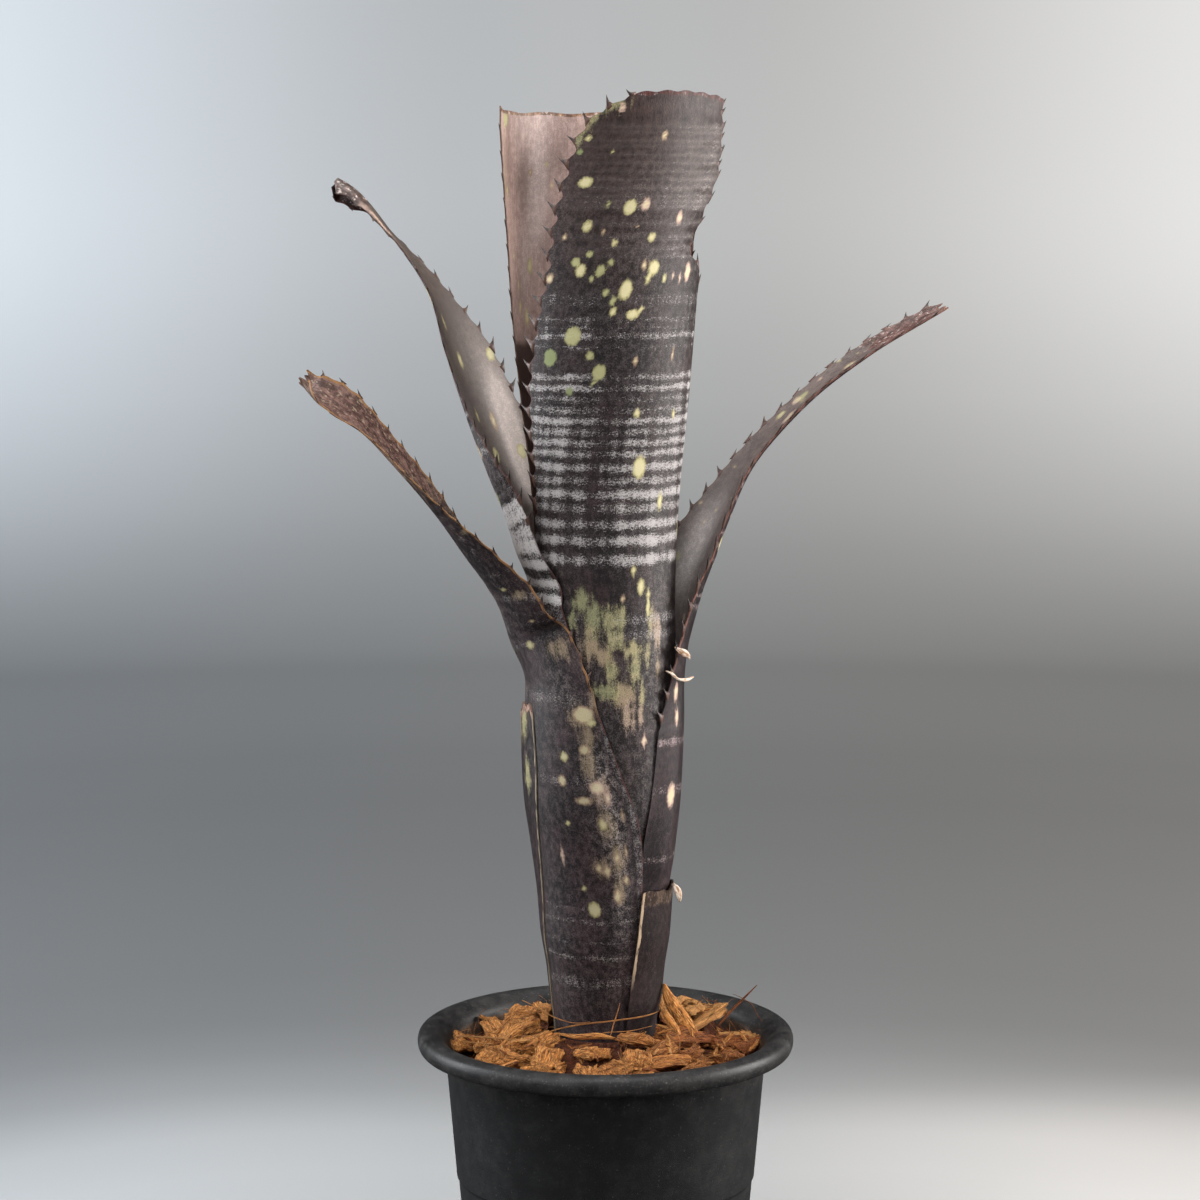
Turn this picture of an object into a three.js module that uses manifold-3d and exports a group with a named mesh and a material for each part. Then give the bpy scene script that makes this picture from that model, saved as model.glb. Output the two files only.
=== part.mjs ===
// A potted billbergia: a black plastic pot of husk chips with a tube of nested strap leaves.
// Millimetres, +Z up. The pot's flat base lies on z = 0 with its axis on the origin, and the
// plant's broad banded leaf faces -Y.

import * as THREE from "three";
import { mergeVertices } from "three/addons/utils/BufferGeometryUtils.js";
import Module from "manifold-3d";

const wasm = await Module();
wasm.setup();

// The pot
const RIM_RADIUS = 60;
const POT_HEIGHT = 105;
const WALL = 1.3;
const FLOOR = 1.8;
const WALL_TAPER = 0.086; // radius lost per millimetre down the wall
const NECK_Z = 97; // where the wall meets the rolled rim
const NECK_RADIUS = 51.1;
const STEP_Z = 57.5; // the wall's small inward step
const STEP_IN = 0.5;
const STEP_RUN = 0.8;
const FOOT_BEVEL = 0.8;
const CORNER_BEVEL = 1.3; // inside, where the wall meets the floor
const POT_SIDES = 40;
// The rolled rim, from under its lip over the crest to the throat: offsets from RIM_RADIUS and
// POT_HEIGHT.
const RIM = [
  [-8, -5.8],
  [-3.4, -5.2],
  [-1.6, -6.4],
  [-0.4, -5.4],
  [0, -3],
  [-0.7, -1],
  [-2.8, 0],
  [-5.6, -0.5],
  [-8.6, -2.8],
  [-10.1, -5.6],
];

// The husk chips: the bed's height by radius, and the pile behind the stem on the right
const MOUND = [
  [16, 105.5],
  [24, 103.5],
  [34, 100.5],
  [44, 97.6],
  [50, 96],
];
const PILE = { x: 27, y: 21, height: 6.5, spread: 11 };
const CHIP_COUNT = 58;
const CHIP_MIN = [11, 7, 3.5];
const CHIP_MAX = [16, 11, 5];
const CHIP_TILT = 25; // degrees to either side
const CHIP_INNER_RADIUS = 15;
const CHIP_OUTER_RADIUS = 46.5;

// The plant
const GAP = 0.3; // clearance between separate pieces
const LEAF_THICKNESS = 0.8;
const LAYER_PITCH = 1.4; // from one wrapped sheath to the next one in
const LEAF_BASE_Z = 90;
const STEM_X = -0.3;
const STEM_Y = 5; // the plant stands a little behind the pot's axis
const STEM_RADIUS = 17;
const STEM_HOLE_RADIUS = STEM_RADIUS + 1.3;
const CROWN_Z = 84;
const CROWN_TOP = 130;

// The hooked teeth on the leaves' margins
const TOOTH_PITCH = 8;
const TOOTH_LENGTH = 3.4;
const TOOTH_LEAN = 0.45; // how far the point leans up the leaf, as a share of its length
const TOOTH_HEEL = 2.6; // the root's length below the point
const TOOTH_TOE = 0.9; // and above it
const TOOTH_SUNK = 0.9; // how deep the root lies in the leaf
const TOOTH_HALF_WIDTH = 0.27;

const COLOURS = {
  pot: 0x1c1c1e,
  husk: 0xa9713f,
  leaf: 0x3d3137,
  stub: 0x5a4844,
  crown: 0x8f9a5c,
};

// The tube that the leaves make: height, radius of its outermost layer, and sideways centre.
const TUBE = [
  [84, STEM_RADIUS, STEM_X],
  [105, 17.2, STEM_X],
  [115, 18.4, STEM_X],
  [125, 19.4, STEM_X],
  [135, 20.9, STEM_X],
  [150, 22.0, STEM_X],
  [165, 23.8, STEM_X],
  [180, 25.8, STEM_X],
  [200, 26.6, STEM_X],
  [225, 26.6, STEM_X],
  [252, 26.8, -0.5],
  [280, 28.6, -0.8],
  [305, 31.3, -1.1],
  [330, 33.6, -1.4],
  [353, 35.3, -1.2],
  [380, 38.2, 0],
  [400, 40.2, 0.8],
];

const radians = THREE.MathUtils.degToRad;

/** A value between table rows, by a smooth cubic through them. */
function smooth(table, x) {
  const last = table.length - 1;
  let i = 0;
  while (i < last - 1 && x > table[i + 1][0]) {
    i += 1;
  }
  const slope = (k) => {
    const lo = table[Math.max(k - 1, 0)];
    const hi = table[Math.min(k + 1, last)];
    return hi.map((v, j) => (v - lo[j]) / (hi[0] - lo[0]));
  };
  const [a, b] = [table[i], table[i + 1]];
  const span = b[0] - a[0];
  const u = THREE.MathUtils.clamp((x - a[0]) / span, 0, 1);
  const [ma, mb] = [slope(i), slope(i + 1)];
  const h00 = 2 * u ** 3 - 3 * u ** 2 + 1;
  const h10 = u ** 3 - 2 * u ** 2 + u;
  const h01 = -2 * u ** 3 + 3 * u ** 2;
  const h11 = u ** 3 - u ** 2;
  return a.map((v, j) => h00 * v + h10 * span * ma[j] + h01 * b[j] + h11 * span * mb[j]);
}

/** A repeatable random number generator, from 0 to 1. */
function seeded(seed) {
  let state = seed >>> 0;
  return () => {
    state = (state * 1664525 + 1013904223) >>> 0;
    return state / 2 ** 32;
  };
}

// Leaf stations. A bearing is the side of the stem that a leaf's midrib stands on, in degrees: 0 is
// the front, 90 the right. left and right are the half widths as seen from outside the leaf.

/** A station wrapped on the stem, in a level ring of its layer: half widths are angles round it. */
function wrapped(layer, z, bearing, left, right) {
  const [, tubeRadius, centreX] = smooth(TUBE, z);
  const radius = tubeRadius - layer * LAYER_PITCH;
  const out = radians(bearing);
  const x = centreX + radius * Math.sin(out);
  const y = STEM_Y - radius * Math.cos(out);
  const [leftArc, rightArc] = [radius * radians(left), radius * radians(right)];
  return {
    section: [x, y, z, bearing, leftArc, rightArc, left + right, 0, 0],
    wrap: [layer, z, bearing, left, right],
  };
}

/** A free station: a midrib place, half widths in millimetres, the turn across, and a roll. */
function free(x, y, z, bearing, left, right, turn, roll = 0) {
  return { section: [x, y, z, bearing, left, right, turn, roll, 1] };
}

/** The section values at a station number u; on the stem they follow the tube exactly. */
function sectionAt(stations, u) {
  const numbered = (rows) => rows.map((row, i) => [i, ...row]);
  const ringed = stations.filter((s) => s.wrap);
  if (u <= ringed.length - 1) {
    const [, ...wrap] = smooth(numbered(ringed.map((s) => s.wrap)), u);
    return wrapped(...wrap).section;
  }
  const [, ...section] = smooth(numbered(stations.map((s) => s.section)), u);
  return section;
}

/** The leaf's section at a station number u: a function of t, from -1 to 1 across, and depth. */
function leafSection(stations, u) {
  const [x, y, z, bearing, left, right, turn, roll, tilt] = sectionAt(stations, u);
  const ahead = sectionAt(stations, Math.min(u + 0.01, stations.length - 1));
  const behind = sectionAt(stations, Math.max(u - 0.01, 0));
  const along = new THREE.Vector3(...ahead).sub(new THREE.Vector3(...behind)).normalize();
  along.lerp(new THREE.Vector3(0, 0, 1), 1 - tilt).normalize();
  const out = radians(bearing);
  const inward = new THREE.Vector3(-Math.sin(out), Math.cos(out), 0);
  inward.addScaledVector(along, -inward.dot(along)).normalize();
  inward.applyAxisAngle(along, radians(roll));
  const leftward = new THREE.Vector3().crossVectors(along, inward);
  const midrib = new THREE.Vector3(x, y, z);
  const bend = radians(turn) / (left + right);

  return (t, depth) => {
    const arc = ((1 - t) * left - (1 + t) * right) / 2;
    const angle = bend * arc;
    return midrib
      .clone()
      .addScaledVector(leftward, Math.sin(angle) / bend - depth * Math.sin(angle))
      .addScaledVector(inward, (1 - Math.cos(angle)) / bend + depth * Math.cos(angle));
  };
}

/** A closed thin shell from a grid of outer points and a grid of inner points. */
function shellGeometry(outer, inner) {
  const rows = outer.length;
  const columns = outer[0].length;
  const positions = [...outer.flat(), ...inner.flat()].flatMap((p) => [p.x, p.y, p.z]);
  const o = (i, j) => i * columns + j;
  const n = (i, j) => rows * columns + i * columns + j;
  const index = [];
  const quad = (a, b, c, d) => index.push(a, b, c, a, c, d);
  for (let i = 0; i < rows - 1; i += 1) {
    for (let j = 0; j < columns - 1; j += 1) {
      quad(o(i, j), o(i, j + 1), o(i + 1, j + 1), o(i + 1, j));
      quad(n(i, j), n(i + 1, j), n(i + 1, j + 1), n(i, j + 1));
    }
    quad(o(i, 0), o(i + 1, 0), n(i + 1, 0), n(i, 0));
    quad(o(i, columns - 1), n(i, columns - 1), n(i + 1, columns - 1), o(i + 1, columns - 1));
  }
  for (let j = 0; j < columns - 1; j += 1) {
    quad(o(0, j), n(0, j), n(0, j + 1), o(0, j + 1));
    quad(o(rows - 1, j), o(rows - 1, j + 1), n(rows - 1, j + 1), n(rows - 1, j));
  }
  const geometry = new THREE.BufferGeometry();
  geometry.setAttribute("position", new THREE.Float32BufferAttribute(positions, 3));
  geometry.setIndex(index);
  return geometry;
}

function toSolid(geometry) {
  const bare = geometry.clone();
  bare.deleteAttribute("normal");
  bare.deleteAttribute("uv");
  const merged = mergeVertices(bare, 1e-5);
  const vertProperties = new Float32Array(merged.attributes.position.array);
  const triVerts = new Uint32Array(merged.index.array);
  return new wasm.Manifold(new wasm.Mesh({ numProp: 3, vertProperties, triVerts }));
}

function toGeometry(solid) {
  const mesh = solid.getMesh();
  const geometry = new THREE.BufferGeometry();
  geometry.setAttribute("position", new THREE.BufferAttribute(mesh.vertProperties, 3));
  geometry.setIndex(new THREE.BufferAttribute(mesh.triVerts, 1));
  return geometry;
}

/** A hooked tooth: a slim pyramid rooted inside the margin, its point leaning up the leaf. */
function toothGeometry(root, along, outward, across) {
  const place = (a, b, c) =>
    root.clone().addScaledVector(along, a).addScaledVector(outward, b).addScaledVector(across, c);
  const corners = [
    place(-TOOTH_HEEL, -TOOTH_SUNK, 0),
    place(TOOTH_TOE, -TOOTH_SUNK, TOOTH_HALF_WIDTH),
    place(TOOTH_TOE, -TOOTH_SUNK, -TOOTH_HALF_WIDTH),
    place(TOOTH_LEAN * TOOTH_LENGTH, TOOTH_LENGTH, 0),
  ];
  const geometry = new THREE.BufferGeometry();
  geometry.setFromPoints(corners);
  geometry.setIndex([0, 2, 1, 0, 1, 3, 1, 2, 3, 2, 0, 3]);
  return geometry;
}

function signedVolume(geometry) {
  const p = geometry.attributes.position;
  const [a, b, c] = [new THREE.Vector3(), new THREE.Vector3(), new THREE.Vector3()];
  let sum = 0;
  for (let i = 0; i < geometry.index.count; i += 3) {
    a.fromBufferAttribute(p, geometry.index.getX(i));
    b.fromBufferAttribute(p, geometry.index.getX(i + 1));
    c.fromBufferAttribute(p, geometry.index.getX(i + 2));
    sum += a.dot(b.cross(c)) / 6;
  }
  return sum;
}

function facingOut(geometry) {
  if (signedVolume(geometry) < 0) {
    const index = geometry.index;
    for (let i = 0; i < index.count; i += 3) {
      const second = index.getX(i + 1);
      index.setX(i + 1, index.getX(i + 2));
      index.setX(i + 2, second);
    }
  }
  return geometry;
}

/** Drops the empty triangles that a lathe leaves on its axis. */
function withoutSlivers(geometry) {
  const corners = [...geometry.index.array];
  const kept = [];
  for (let i = 0; i < corners.length; i += 3) {
    const [a, b, c] = corners.slice(i, i + 3);
    if (a !== b && b !== c && c !== a) {
      kept.push(a, b, c);
    }
  }
  geometry.setIndex(kept);
  return geometry;
}

/** Row positions along the stations, with perSpan steps from each one to the next. */
function rowNumbers(stations, perSpan) {
  const rows = [];
  for (let i = 0; i < stations.length - 1; i += 1) {
    const steps = perSpan[Math.min(i, perSpan.length - 1)];
    for (let k = 0; k < steps; k += 1) {
      rows.push(i + k / steps);
    }
  }
  rows.push(stations.length - 1);
  return rows;
}

/** The teeth of one margin, along a line of edge points, each with a point further inboard. */
function marginTeeth(edge, inboard) {
  const teeth = [];
  let travelled = 0;
  let due = TOOTH_PITCH / 2;
  for (let i = 0; i < edge.length - 1; i += 1) {
    const span = edge[i].distanceTo(edge[i + 1]);
    const along = edge[i + 1].clone().sub(edge[i]).normalize();
    while (due <= travelled + span) {
      const f = (due - travelled) / span;
      const root = edge[i].clone().lerp(edge[i + 1], f);
      const outward = root.clone().sub(inboard[i].clone().lerp(inboard[i + 1], f));
      outward.addScaledVector(along, -outward.dot(along)).normalize();
      const across = new THREE.Vector3().crossVectors(along, outward);
      teeth.push(facingOut(toothGeometry(root, along, outward, across)));
      due += TOOTH_PITCH;
    }
    travelled += span;
  }
  return teeth;
}

/**
 * A leaf or stub from its stations. toothed holds the station where the left and the right margin's
 * teeth begin, and cut raises the top edge by a share of the way across it.
 */
function leafGeometry({ stations, columns, perSpan, toothed = null, cut = () => 0 }) {
  const rows = rowNumbers(stations, perSpan);
  const shares = Array.from({ length: columns + 1 }, (_, j) => j / columns);
  const surface = (depth) =>
    rows.map((u) => {
      const point = leafSection(stations, u);
      return shares.map((share) => point(2 * share - 1, depth));
    });
  const [outer, middle, inner] = [0, LEAF_THICKNESS / 2, LEAF_THICKNESS].map(surface);
  for (const grid of [outer, middle, inner]) {
    grid.at(-1).forEach((p, j) => {
      p.z += cut(shares[j]);
    });
  }
  const blade = facingOut(shellGeometry(outer, inner));
  if (toothed === null) {
    return blade;
  }

  let solid = toSolid(blade);
  for (const [side, next, start] of [[0, 1, toothed[0]], [columns, columns - 1, toothed[1]]]) {
    const toothedRows = middle.slice(rows.findIndex((u) => u >= start));
    const edge = toothedRows.map((row) => row[side]);
    const inboard = toothedRows.map((row) => row[next]);
    for (const tooth of marginTeeth(edge, inboard)) {
      solid = solid.add(toSolid(tooth));
    }
  }
  return toGeometry(solid);
}

// The leaves and the two old stubs. A wrapped station's layer counts from the outermost in.

const LEAVES = {
  leaf_front_left: {
    columns: 10,
    perSpan: [1, 2, 2, 1, 1, 1, 1, 1, 2, 2, 2, 2, 1, 1],
    toothed: [8, 5],
    stations: [
      wrapped(1, LEAF_BASE_Z, -52, 86, 88),
      wrapped(1, 115, -53, 86, 88),
      wrapped(1, 150, -56, 84, 88),
      wrapped(1, 177, -60, 80, 79),
      wrapped(1, 199, -63, 74, 64),
      wrapped(1, 217, -66, 68, 57),
      free(-29, -3, 232, -70, 27, 22, 110, 3),
      free(-34.5, -6, 245, -74, 24, 19, 95, 10),
      free(-42, -9, 256, -78, 21, 15, 85, 12),
      free(-53, -12, 271, -82, 17, 11, 72, 6),
      free(-65, -15, 286, -84, 14, 10.5, 62, -3),
      free(-76, -17, 299, -86, 11, 10, 60, -12),
      free(-85, -19, 306, -88, 8, 7, 70, -18),
      free(-90, -20, 309, -88, 5, 5, 90, -18),
      free(-92.5, -20, 311, -88, 3, 3, 90, -18),
    ],
  },
  leaf_right: {
    columns: 10,
    perSpan: [1, 2, 1, 1, 1, 1, 1, 1, 2, 2, 2, 2, 1, 1],
    toothed: [5, 6],
    stations: [
      wrapped(1, LEAF_BASE_Z, 115, 76, 80),
      wrapped(1, 115, 115, 76, 80),
      wrapped(1, 148, 115, 76, 80),
      wrapped(0.7, 162, 115, 79, 78),
      wrapped(1.1, 183, 116, 69, 76),
      wrapped(1, 203, 117, 60, 70),
      free(22.3, 17, 220, 118, 20, 24, 101),
      free(25.5, 18, 237, 119, 19, 20, 110),
      free(30, 20, 254, 119, 17, 14, 92),
      free(38, 22, 271, 114, 15, 10, 75),
      free(49, 26, 287, 106, 12, 9, 62),
      free(67, 31, 305, 100, 10, 8, 60),
      free(86, 35, 319, 98, 7, 7, 60),
      free(103, 38, 329, 96, 5, 5, 70),
      free(109, 39, 332.5, 96, 2.5, 2.5, 70),
    ],
  },
  leaf_left: {
    columns: 12,
    perSpan: [1, 2, 2, 3, 1, 1, 1, 2, 2, 2, 2, 1, 1, 1],
    toothed: [6, 6],
    stations: [
      wrapped(2, LEAF_BASE_Z, -110, 85, 150),
      wrapped(2, 115, -110, 85, 150),
      wrapped(2, 163, -112, 85, 147),
      wrapped(2, 193, -114, 80, 124),
      wrapped(2, 234, -116, 72, 89),
      wrapped(2, 247, -117, 68, 79),
      free(-26.5, 15, 262, -118, 26, 27, 125),
      free(-32.5, 18, 277, -118, 22, 24, 105),
      free(-40.5, 22, 298, -118, 19, 20, 85),
      free(-48, 26, 320, -118, 15, 15, 70),
      free(-55.5, 29, 338, -110, 8, 9, 60),
      free(-66.5, 32, 353.5, -102, 5, 6, 50),
      free(-78, 34, 368, -98, 4, 4, 40),
      free(-86, 35, 374, -98, 3, 3, 40),
    ],
  },
  leaf_front: {
    columns: 10,
    perSpan: [1, 2, 2, 2, 2, 2, 2, 2, 2, 1, 1, 1],
    toothed: [6, 6],
    cut: (t) => 3.5 * Math.sin(Math.PI * (0.2 + 0.7 * t)) - 1,
    stations: [
      wrapped(3, LEAF_BASE_Z, 0, 100, 95),
      wrapped(3, 115, 0, 100, 95),
      wrapped(3, 160, 0, 96, 84),
      wrapped(3, 200, -2, 84, 62),
      wrapped(3, 240, -5, 72, 59),
      wrapped(3, 270, -3, 62, 58),
      wrapped(3, 305, 5, 63, 63),
      wrapped(3, 325, 10, 57, 57),
      wrapped(3, 345, 18, 53, 53),
      wrapped(3, 362, 23, 52, 51),
      wrapped(3, 380, 29, 49, 49),
      wrapped(3, 390, 31, 46, 46),
      wrapped(3, 397, 32, 37, 42),
    ],
  },
  leaf_back: {
    columns: 10,
    perSpan: [1, 2, 2, 2, 2, 2, 2, 2, 2, 1],
    toothed: [5, 5],
    stations: [
      wrapped(4, LEAF_BASE_Z, 180, 95, 95),
      wrapped(4, 115, 180, 95, 95),
      wrapped(4, 160, 180, 96, 94),
      wrapped(4, 200, 180, 100, 92),
      wrapped(4, 240, 180, 103, 90),
      wrapped(4, 270, 180, 104, 88),
      wrapped(4, 305, 180, 100, 86),
      wrapped(4, 330, 180, 96, 86),
      wrapped(4, 360, 180, 90, 86),
      wrapped(4, 385, 180, 80, 86),
      wrapped(4, 394, 180, 70, 82),
    ],
  },
  stub_right: {
    columns: 9,
    perSpan: [1, 2, 2],
    stations: [
      wrapped(0, LEAF_BASE_Z, 105, 82, 80),
      wrapped(0, 110, 105, 80, 80),
      wrapped(0, 130, 105, 75, 78),
      wrapped(0, 151, 105, 70, 75),
    ],
  },
  stub_left: {
    columns: 8,
    perSpan: [1, 2, 2, 2, 1],
    cut: (t) => 5 * t + 1.5 * Math.sin(16 * t) - 3,
    stations: [
      wrapped(0, LEAF_BASE_Z, -112, 50, 42),
      wrapped(0, 110, -112, 50, 44),
      wrapped(0, 135, -112, 50, 48),
      wrapped(0, 165, -110, 50, 52),
      wrapped(0, 188, -108, 48, 52),
      wrapped(0, 207, -108, 38, 46),
    ],
  },
};

function wallRadius(z) {
  const radius = NECK_RADIUS - WALL_TAPER * (NECK_Z - z);
  return z < STEP_Z ? radius - STEP_IN : radius;
}

/** A lathed body from a profile of [radius, z] points, turned so that its axis is Z. */
function lathe(profile, sides) {
  const points = profile.map(([r, z]) => new THREE.Vector2(r, z));
  const geometry = new THREE.LatheGeometry(points, sides);
  geometry.rotateX(Math.PI / 2);
  geometry.deleteAttribute("normal");
  geometry.deleteAttribute("uv");
  return facingOut(withoutSlivers(mergeVertices(geometry, 1e-4)));
}

function potGeometry() {
  const outside = (z) => [wallRadius(z), z];
  const inside = (z) => [wallRadius(z) - WALL, z];
  return lathe(
    [
      [0, 0],
      [wallRadius(0) - FOOT_BEVEL, 0],
      outside(FOOT_BEVEL),
      outside(STEP_Z - STEP_RUN),
      outside(STEP_Z),
      outside(NECK_Z),
      ...RIM.map(([r, z]) => [RIM_RADIUS + r, POT_HEIGHT + z]),
      inside(NECK_Z - 1),
      inside(STEP_Z),
      inside(STEP_Z - STEP_RUN),
      inside(FLOOR + CORNER_BEVEL),
      [wallRadius(FLOOR) - WALL - CORNER_BEVEL, FLOOR],
      [0, FLOOR],
    ],
    POT_SIDES,
  );
}

/** The top of the chip bed at a place in the pot. */
function moundHeight(x, y) {
  const away = Math.hypot(x - PILE.x, y - PILE.y) / PILE.spread;
  return smooth(MOUND, Math.hypot(x, y))[1] + PILE.height * Math.exp(-away * away);
}

/** The bed under the chips, which fills the pot up to the mound. */
function bedGeometry() {
  const wall = (z) => [wallRadius(z) - WALL - GAP, z];
  const floor = FLOOR + GAP;
  const edge = MOUND.at(-1)[1];
  const rings = MOUND.slice(1, -1).reverse();
  const bed = lathe(
    [
      [0, floor],
      [wall(FLOOR)[0] - CORNER_BEVEL, floor],
      wall(floor + CORNER_BEVEL),
      wall(STEP_Z - STEP_RUN),
      [wall(STEP_Z)[0] - GAP / 3, STEP_Z + STEP_RUN],
      wall(edge),
      ...rings,
      MOUND[0],
      [0, MOUND[0][1]],
    ],
    POT_SIDES,
  );
  const p = bed.attributes.position;
  for (let i = 0; i < p.count; i += 1) {
    if (p.getZ(i) > edge + GAP) {
      p.setZ(i, moundHeight(p.getX(i), p.getY(i)));
    }
  }
  return bed;
}

/** One husk chip: a box pulled out of square. */
function chipGeometry(random) {
  const size = CHIP_MIN.map((low, k) => low + (CHIP_MAX[k] - low) * random());
  const geometry = new THREE.BoxGeometry(...size);
  geometry.deleteAttribute("normal");
  geometry.deleteAttribute("uv");
  const chip = mergeVertices(geometry, 1e-4);
  const p = chip.attributes.position;
  for (let i = 0; i < p.count; i += 1) {
    const pull = () => 0.65 + 0.5 * random();
    p.setXYZ(i, p.getX(i) * pull(), p.getY(i) * pull(), p.getZ(i) * pull());
  }
  return chip;
}

/** The chips at golden-angle places over the bed, cut to the pot's throat. */
function chipsSolid() {
  const random = seeded(21);
  let chips = null;
  for (let i = 0; i < CHIP_COUNT; i += 1) {
    const chip = chipGeometry(random);
    const ring = Math.sqrt((i + 0.5) / CHIP_COUNT);
    const radius = CHIP_INNER_RADIUS + (CHIP_OUTER_RADIUS - CHIP_INNER_RADIUS) * ring;
    const angle = i * radians(137.5) + 0.5 * random();
    const [x, y] = [radius * Math.cos(angle), radius * Math.sin(angle)];
    chip.rotateX(radians(CHIP_TILT) * (2 * random() - 1));
    chip.rotateY(radians(CHIP_TILT) * (2 * random() - 1));
    chip.rotateZ(2 * Math.PI * random());
    chip.translate(x, y, moundHeight(x, y) + 1.6 * random());
    const solid = toSolid(facingOut(chip));
    chips = chips === null ? solid : chips.add(solid);
  }
  const throat = wallRadius(NECK_Z - 1) - WALL - GAP;
  const opening = new THREE.CylinderGeometry(throat, throat - 0.5, 60, POT_SIDES);
  opening.rotateX(Math.PI / 2);
  opening.rotateZ(Math.PI / POT_SIDES); // its edges stay clear of the bed's
  opening.translate(0, 0, NECK_Z);
  return chips.intersect(toSolid(facingOut(opening)));
}

function substrateGeometry() {
  const depth = 60;
  const hole = new THREE.CylinderGeometry(STEM_HOLE_RADIUS, STEM_HOLE_RADIUS, depth, 32);
  hole.rotateX(Math.PI / 2);
  hole.translate(STEM_X, STEM_Y, CROWN_Z - GAP + depth / 2);
  const filling = toSolid(bedGeometry()).add(chipsSolid());
  return toGeometry(filling.subtract(toSolid(facingOut(hole))));
}

/** The short solid stem that the sheaths wrap, with a foot under them. */
function crownGeometry() {
  const core = STEM_RADIUS - 4 * LAYER_PITCH - LEAF_THICKNESS - 2 * GAP;
  const foot = LEAF_BASE_Z - GAP;
  const geometry = lathe(
    [
      [0, CROWN_Z],
      [STEM_RADIUS - 1, CROWN_Z],
      [STEM_RADIUS, CROWN_Z + 1],
      [STEM_RADIUS, foot],
      [core, foot],
      [core, CROWN_TOP - 22],
      [core - 2, CROWN_TOP - 14],
      [core - 6, CROWN_TOP - 6],
      [0, CROWN_TOP],
    ],
    24,
  );
  geometry.translate(STEM_X, STEM_Y, 0);
  return geometry;
}

const group = new THREE.Group();

function addPiece(name, geometry, color, roughness) {
  const material = new THREE.MeshStandardMaterial({ color, roughness, metalness: 0 });
  const mesh = new THREE.Mesh(geometry, material);
  mesh.name = name;
  group.add(mesh);
}

addPiece("pot", potGeometry(), COLOURS.pot, 0.45);
addPiece("substrate", substrateGeometry(), COLOURS.husk, 0.9);
addPiece("crown", crownGeometry(), COLOURS.crown, 0.6);
for (const [name, leaf] of Object.entries(LEAVES)) {
  addPiece(name, leafGeometry(leaf), name.startsWith("stub") ? COLOURS.stub : COLOURS.leaf, 0.5);
}

export default group;
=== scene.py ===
# %% [markdown]
# # A potted billbergia
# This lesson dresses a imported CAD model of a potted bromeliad: a tube of nested, dark strap
# leaves with pale cross bands, spots and hooked spines, rooted in husk chips in a black pot.
# The CAD solids fix where everything is. The pieces made here stand for them with finer shapes
# and with materials. Blender works in metres, and the tables below are in millimetres.

# %% Load the fixed frame
import math

import bmesh
import bpy
import mathutils
import numpy as np
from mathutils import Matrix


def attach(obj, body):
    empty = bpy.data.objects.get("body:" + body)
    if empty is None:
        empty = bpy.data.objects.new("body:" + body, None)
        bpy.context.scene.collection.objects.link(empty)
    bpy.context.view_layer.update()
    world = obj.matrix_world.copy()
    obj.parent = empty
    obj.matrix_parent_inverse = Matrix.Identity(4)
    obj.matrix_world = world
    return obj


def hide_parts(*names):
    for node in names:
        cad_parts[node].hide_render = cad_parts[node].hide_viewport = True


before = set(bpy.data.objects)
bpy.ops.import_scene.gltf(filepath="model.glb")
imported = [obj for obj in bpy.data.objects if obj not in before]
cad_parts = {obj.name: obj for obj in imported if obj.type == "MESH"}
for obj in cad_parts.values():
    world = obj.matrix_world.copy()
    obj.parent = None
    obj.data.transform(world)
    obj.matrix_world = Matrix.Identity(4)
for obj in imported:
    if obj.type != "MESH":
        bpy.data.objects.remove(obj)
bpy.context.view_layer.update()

MM = 0.001
TINY = 1e-6
print("CAD nodes:", ", ".join(sorted(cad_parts)))

# %% [markdown]
# ## Camera
# The camera comes first, because marks that are described by where they appear from the front
# need it. It stands a metre in front of the pot, a little below the top of the plant, and looks
# slightly down through a long lens, which keeps the pot's rim a shallow ellipse.

# %% Camera
CAMERA_PLACE = np.array([-1.76, -1000.0, 370.0])
CAMERA_PITCH = math.radians(7.255)
FRONT_SIZE = 1200
FRONT_FOCAL = 3206.0
SENSOR = 36.0


def placed_object(name, data):
    """A new object for a mesh, a camera or a lamp, linked to the scene."""
    made = bpy.data.objects.new(name, data)
    bpy.context.scene.collection.objects.link(made)
    return made


camera_data = bpy.data.cameras.new("camera")
camera_data.sensor_width = SENSOR
camera_data.lens = SENSOR * FRONT_FOCAL / FRONT_SIZE
camera_data.clip_start = 0.05
camera = placed_object("camera", camera_data)
camera.location = CAMERA_PLACE * MM
camera.rotation_euler = (math.radians(90) - CAMERA_PITCH, 0, 0)
bpy.context.scene.camera = camera
print("lens", round(camera_data.lens, 1), "mm")


def front_view(points):
    """Where points in millimetres appear from the front, in pixels of a 1200 by 1200 picture."""
    away = points - CAMERA_PLACE
    ahead = np.array([0, math.cos(CAMERA_PITCH), -math.sin(CAMERA_PITCH)])
    up = np.array([0, math.sin(CAMERA_PITCH), math.cos(CAMERA_PITCH)])
    depth = away @ ahead
    half = FRONT_SIZE / 2
    x = half + FRONT_FOCAL * away[..., 0] / depth
    y = half - FRONT_FOCAL * (away @ up) / depth
    return np.stack([x, y], axis=-1)


def place_seen_at(x, y, axis, value):
    """The place on the camera's ray through a pixel whose coordinate on that axis is known."""
    turn = [math.cos(CAMERA_PITCH), math.sin(CAMERA_PITCH)]
    aside = (x - FRONT_SIZE / 2) / FRONT_FOCAL
    rise = (FRONT_SIZE / 2 - y) / FRONT_FOCAL
    ray = np.array([aside, turn[0] + rise * turn[1], rise * turn[0] - turn[1]])
    return CAMERA_PLACE + ray * (value - CAMERA_PLACE[axis]) / ray[axis]


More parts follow.
